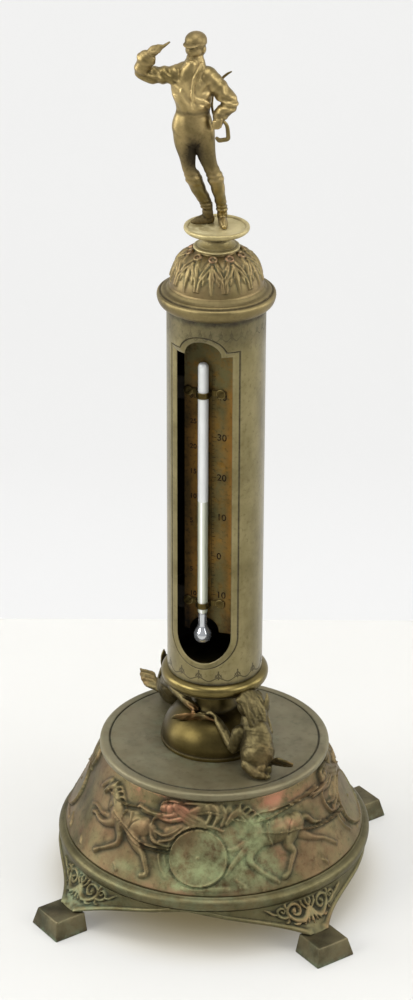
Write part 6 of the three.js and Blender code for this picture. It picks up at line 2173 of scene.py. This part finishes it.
@dataclass
class SideFigures(Figure):
    """Two cast mermaids that crouch on the disc: long hair, a small wing, a fluke and a webbed hand."""

    size: float = 32.0
    rows: int = 30
    floor: float = 53.5
    turns: tuple = (("front", 7 * math.pi / 4), ("back", 3 * math.pi / 4))

    def creature(self) -> list:
        """The creature's limbs, as closed surfaces: x outwards, y to one side, z above the disc."""
        parts = [
            # back, hips and folded legs
            self.part((600, 0, 560, 70), (645, 0, 490, 130, 100), (690, 0, 420, 215, 135),
                      (750, -5, 320, 225, 155), (810, -30, 240, 215, 165), (870, -60, 185, 215, 175),
                      (930, -80, 145, 180, 140), (985, -100, 110, 80, 70), rows=70, sides=36),
            self.part((860, -170, 120, 85), (960, -170, 75, 62), (1040, -130, 55, 45), (1075, -80, 45, 30)),
            self.part((900, 0, 120, 80), (990, -30, 80, 55), (1050, -50, 85, 32), (1060, -50, 130, 20)),
            # fluke
            self.part((920, 30, 140, 50, 40), (1020, 50, 150, 55, 30), (1130, 70, 190, 90, 22),
                      (1220, 80, 220, 60, 18), (1285, 80, 245, 12, 12), across=(0.3, 1.0, 0.9)),
            # head and the wing behind it
            self.knob((610, 0, 660), (115, 122, 125)),
            self.part((700, 120, 500, 30, 20), (720, 150, 600, 60, 20), (720, 165, 700, 50, 18),
                      (700, 170, 780, 12, 12), across=(0.9, 0.4, 0.0)),
            # near arm and its hand on the bell
            self.part((660, -150, 400, 80), (640, -185, 290, 65), (610, -190, 200, 54), (490, -190, 280, 52),
                      (370, -190, 370, 46), (310, -190, 400, 38), rows=44),
            self.part((330, -190, 400, 36, 24), (250, -200, 430, 45, 24), (180, -235, 425, 30, 18)),
            *[self.part((220 - 12 * k, -190 - 22 * k, 432, 13.5), (170 - 12 * k, -215 - 24 * k, 430, 12.5),
                        (130 - 10 * k, -245 - 24 * k, 410, 9), rows=10, sides=12) for k in range(4)],
            # far arm, and its long webbed hand across the bell
            self.part((700, 130, 400, 80), (520, 230, 500, 66), (300, 290, 520, 56), (80, 300, 480, 50),
                      (-50, 285, 440, 42), rows=44),
            self.part((90, 485, 335, 12, 10), (30, 460, 365, 35, 16), (-50, 420, 390, 50, 18),
                      (-130, 350, 415, 52, 18), (-220, 280, 415, 40, 16), (-310, 225, 400, 12, 10), rows=40,
                      across=(-0.5, 0.85, -0.35)),
            self.part((-40, 290, 440, 34, 22), (-80, 330, 430, 40, 20), (-100, 370, 410, 30, 16)),
        ]
        sway = np.linspace(0, 1, 9)
        for k, y in enumerate(np.linspace(-0.115, 0.13, 9)):
            curl = 0.014 * np.sin(sway * 7 + k * 1.7)
            x = 0.585 + 0.24 * sway + 0.012 * math.cos(k)
            z = 0.78 - 0.09 * sway - 0.26 * sway**2 - 2.4 * y * y
            width = 0.038 * (1 - 0.4 * sway)
            stations = np.stack([x, y * (1 - 0.25 * sway) + curl + 0.03 * sway, z, width, width], axis=1)
            parts.append(limb(stations, self.size, 36, 12))
        return parts

    def scales(self, points: Array) -> Array:
        """Fine ribs on the fluke, on the webbed hand and down the spine."""
        x, y, z = points.T / self.size
        fluke = smooth_steps(x, 1.0, 1.08)
        web = smooth_steps(-x, -0.16, -0.05)
        spine = swell(y, -0.03, 0.012) * smooth_steps(x, 0.7, 0.76) * smooth_steps(-x, -0.92, -0.84)
        ribs = held(fluke + web) * np.sin((y - 0.4 * x) * 170)
        flesh = np.sin(x * 23 + 2.0 * np.sin(y * 31)) * np.sin(z * 27 + y * 11)
        skin = np.sin(x * 71 + 3 * np.sin(z * 47)) * np.sin(y * 83 + z * 29)
        return 0.1 * ribs - 0.14 * spine + 0.1 * flesh + 0.05 * skin

    def build(self) -> None:
        """Makes both figures."""
        skin = sculpted(self.creature(), self.voxel, self.scales)
        skin.points[:, 2] = np.maximum(skin.points[:, 2], 0.02)
        out = skin.points[:, 0] / self.size
        skin.marks["green"] = held(1 - skin.points[:, 2] / 3.0) * 0.6
        skin.marks["copper"] = held(held((out - 0.9) * 4) * 0.22 + np.clip(0.1 - out, 0, 0.2) * 3)
        finish = AgedMetal("figure_bronze", "675d40", "4a432c", "1f190c", "8f8055", blots=0.5, clouds=110,
                           gloss=0.38, matt=0.58, wear=0.5, grime=0.95, pits=0.14, blooms=0.5, bloom="7c7f58",
                           blushes=0.7, blush="8f5f3c").build()
        for name, turn in self.turns:
            placed = skin.placed((0, 0, self.floor), turn)
            piece(f"mermaid_{name}", placed, [finish], Body.STAND,
                  (f"{name}_side_figure",), 75)


@dataclass
class Fastenings:
    """The rod, straps, bands, nuts and washers that keep their solids' own meshes."""

    palette: Palette
    iron: tuple = (
        "cross_strap", "tie_rod", "rod_washer", "rod_nut", "front_side_figure_nut", "back_side_figure_nut",
        "finial_stud", "finial_washer", "finial_nut",
    )
    # the scale bands sit inside the tube and take the bore's finish, darkened to near black as painted shade
    brass: tuple = ("upper_scale_band", "lower_scale_band")

    def build(self) -> None:
        """Gives each its finish."""
        for names, finish in ((self.iron, "dark_iron"), (self.brass, "bore_tarnish_and_shade")):
            for name in names:
                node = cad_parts[name]
                node.data.materials.clear()
                node.data.materials.append(self.palette[finish])
                log.info("%s: solid kept, %s", name, finish)


@dataclass
class Studio:
    """The floor, the backdrop, the lamps and the camera."""

    azimuth: float = 9.5
    pitch: float = 25.98
    distance: float = 892.4
    height: float = 577.9
    roll: float = 0.27
    lens: float = 108.54
    shift: float = -0.009
    # metres, as the lamps' places: the table's end, the sweep's bend and the sheet's reach
    table_end: float = 0.183
    bend: float = 0.05
    reach: float = 2.4
    sky_dim: float = 0.42
    sky_bright: float = 0.45
    lamps: tuple = (
        ("left_softbox", (-1.1, -0.9, 0.9), 0.8, 15),
        ("right_softbox", (1.2, -0.5, 0.8), 0.7, 9),
        ("top_softbox", (0.1, -0.2, 1.5), 0.9, 12),
        ("left_edge_panel", (-0.95, 0.15, 0.35), 0.7, 11),
        ("right_edge_panel", (0.85, 0.5, 0.35), 0.7, 9),
    )

    def camera(self) -> None:
        """Places the camera on the azimuth at its distance and height, looking down, rolled a little."""
        data = bpy.data.cameras.new("camera")
        data.lens, data.shift_x, data.clip_start, data.clip_end = self.lens, self.shift, 0.05, 20
        seen = linked("camera", data)
        a = math.radians(self.azimuth)
        out = self.distance * MM
        seen.location = (out * math.sin(a), -out * math.cos(a), self.height * MM)
        seen.rotation_mode = "XYZ"
        seen.rotation_euler = (math.radians(90 - self.pitch), 0, a)
        turn = seen.rotation_euler.to_matrix() @ Matrix.Rotation(math.radians(self.roll), 3, "Z")
        seen.rotation_euler = turn.to_euler("XYZ")
        bpy.context.scene.camera = seen

    def stage(self) -> None:
        """Makes the table and the wall behind it: a sweep whose section runs flat, then turns up."""
        a = math.radians(self.azimuth)
        back = np.array([-math.sin(a), math.cos(a)])
        side = np.array([math.cos(a), math.sin(a)])
        edge = self.table_end
        t = np.linspace(0, math.pi / 2, 13)
        bend = np.stack([edge + self.bend * np.sin(t), self.bend * (1 - np.cos(t))], axis=1)
        flat = [[-self.reach, 0.0], [-0.6, 0.0], [0.0, 0.0], [edge - 0.02, 0.0]]
        section = np.concatenate([flat, bend, [[edge + self.bend, self.reach]]])
        across = np.array([-self.reach, -0.8, 0, 0.8, self.reach])
        places = section[:, None, :1] * back + across[None, :, None] * side
        rows, columns = len(section), len(across)
        up = np.broadcast_to(section[:, None, 1:], (rows, columns, 1))
        points = np.concatenate([places, up], axis=2)
        faces = grid_faces(rows, columns)[:, ::-1]
        first = faces.min(axis=1)
        floor, wall = faces[first < len(flat) * columns], faces[first >= len(flat) * columns]
        sweep = bare_object("sweep", Surface(points.reshape(-1, 3) / MM, [floor, wall], [0, 1]))
        # the table's last colour is a warm painted shadow under the object
        sweep.data.materials.append(Paper("table_white", "ecece9", 0.95, 0.3, "c7c6c2", "b5a67e").build())
        sweep.data.materials.append(Paper("wall_white", "f3f3f2", 0.95, 0.9).build())
        sweep.data.polygons.foreach_set("use_smooth", np.ones(len(sweep.data.polygons), bool))
        sweep.visible_shadow = True

    def lamp(self, name: str, place: tuple, size: float, watts: float) -> None:
        """Hangs a square soft lamp that looks at the middle of the object."""
        data = bpy.data.lights.new(name, "AREA")
        data.size, data.energy = size, watts
        hung = linked(name, data)
        hung.location = place
        toward = Vector((0, 0, 0.15)) - Vector(place)
        hung.rotation_euler = toward.to_track_quat("-Z", "Y").to_euler()

    def world(self) -> None:
        """A pale even sky, brighter to the camera and to reflections than to matt surfaces."""
        b = Bench("studio", bpy.data.worlds)
        strength = b.blend(b.looked_at(), self.sky_dim, self.sky_bright)
        sky = b.add("ShaderNodeBackground", {0: (0.96, 0.97, 1.0, 1), 1: strength})
        b.add("ShaderNodeOutputWorld", {0: sky.outputs[0]})
        bpy.context.scene.world = b.material

    def build(self) -> None:
        """Sets up the studio."""
        bpy.context.scene.view_settings.view_transform = "Standard"
        self.camera()
        self.stage()
        self.world()
        for lamp in self.lamps:
            self.lamp(*lamp)


def main() -> None:
    """Builds the studio and every sub-assembly in order."""
    logging.basicConfig(level=logging.INFO, format="%(message)s")
    Studio().build()
    palette = Palette()
    for maker in (
        Feet, Plinth, BaseRing, FriezeDrum, TopDisc, Pedestal, Column, Thermometer, DomedCap, Saucer, Rider,
        SideFigures, Fastenings,
    ):
        maker(palette).build()
        log.info("%s done", maker.__name__)


if __name__ == "__main__":
    main()
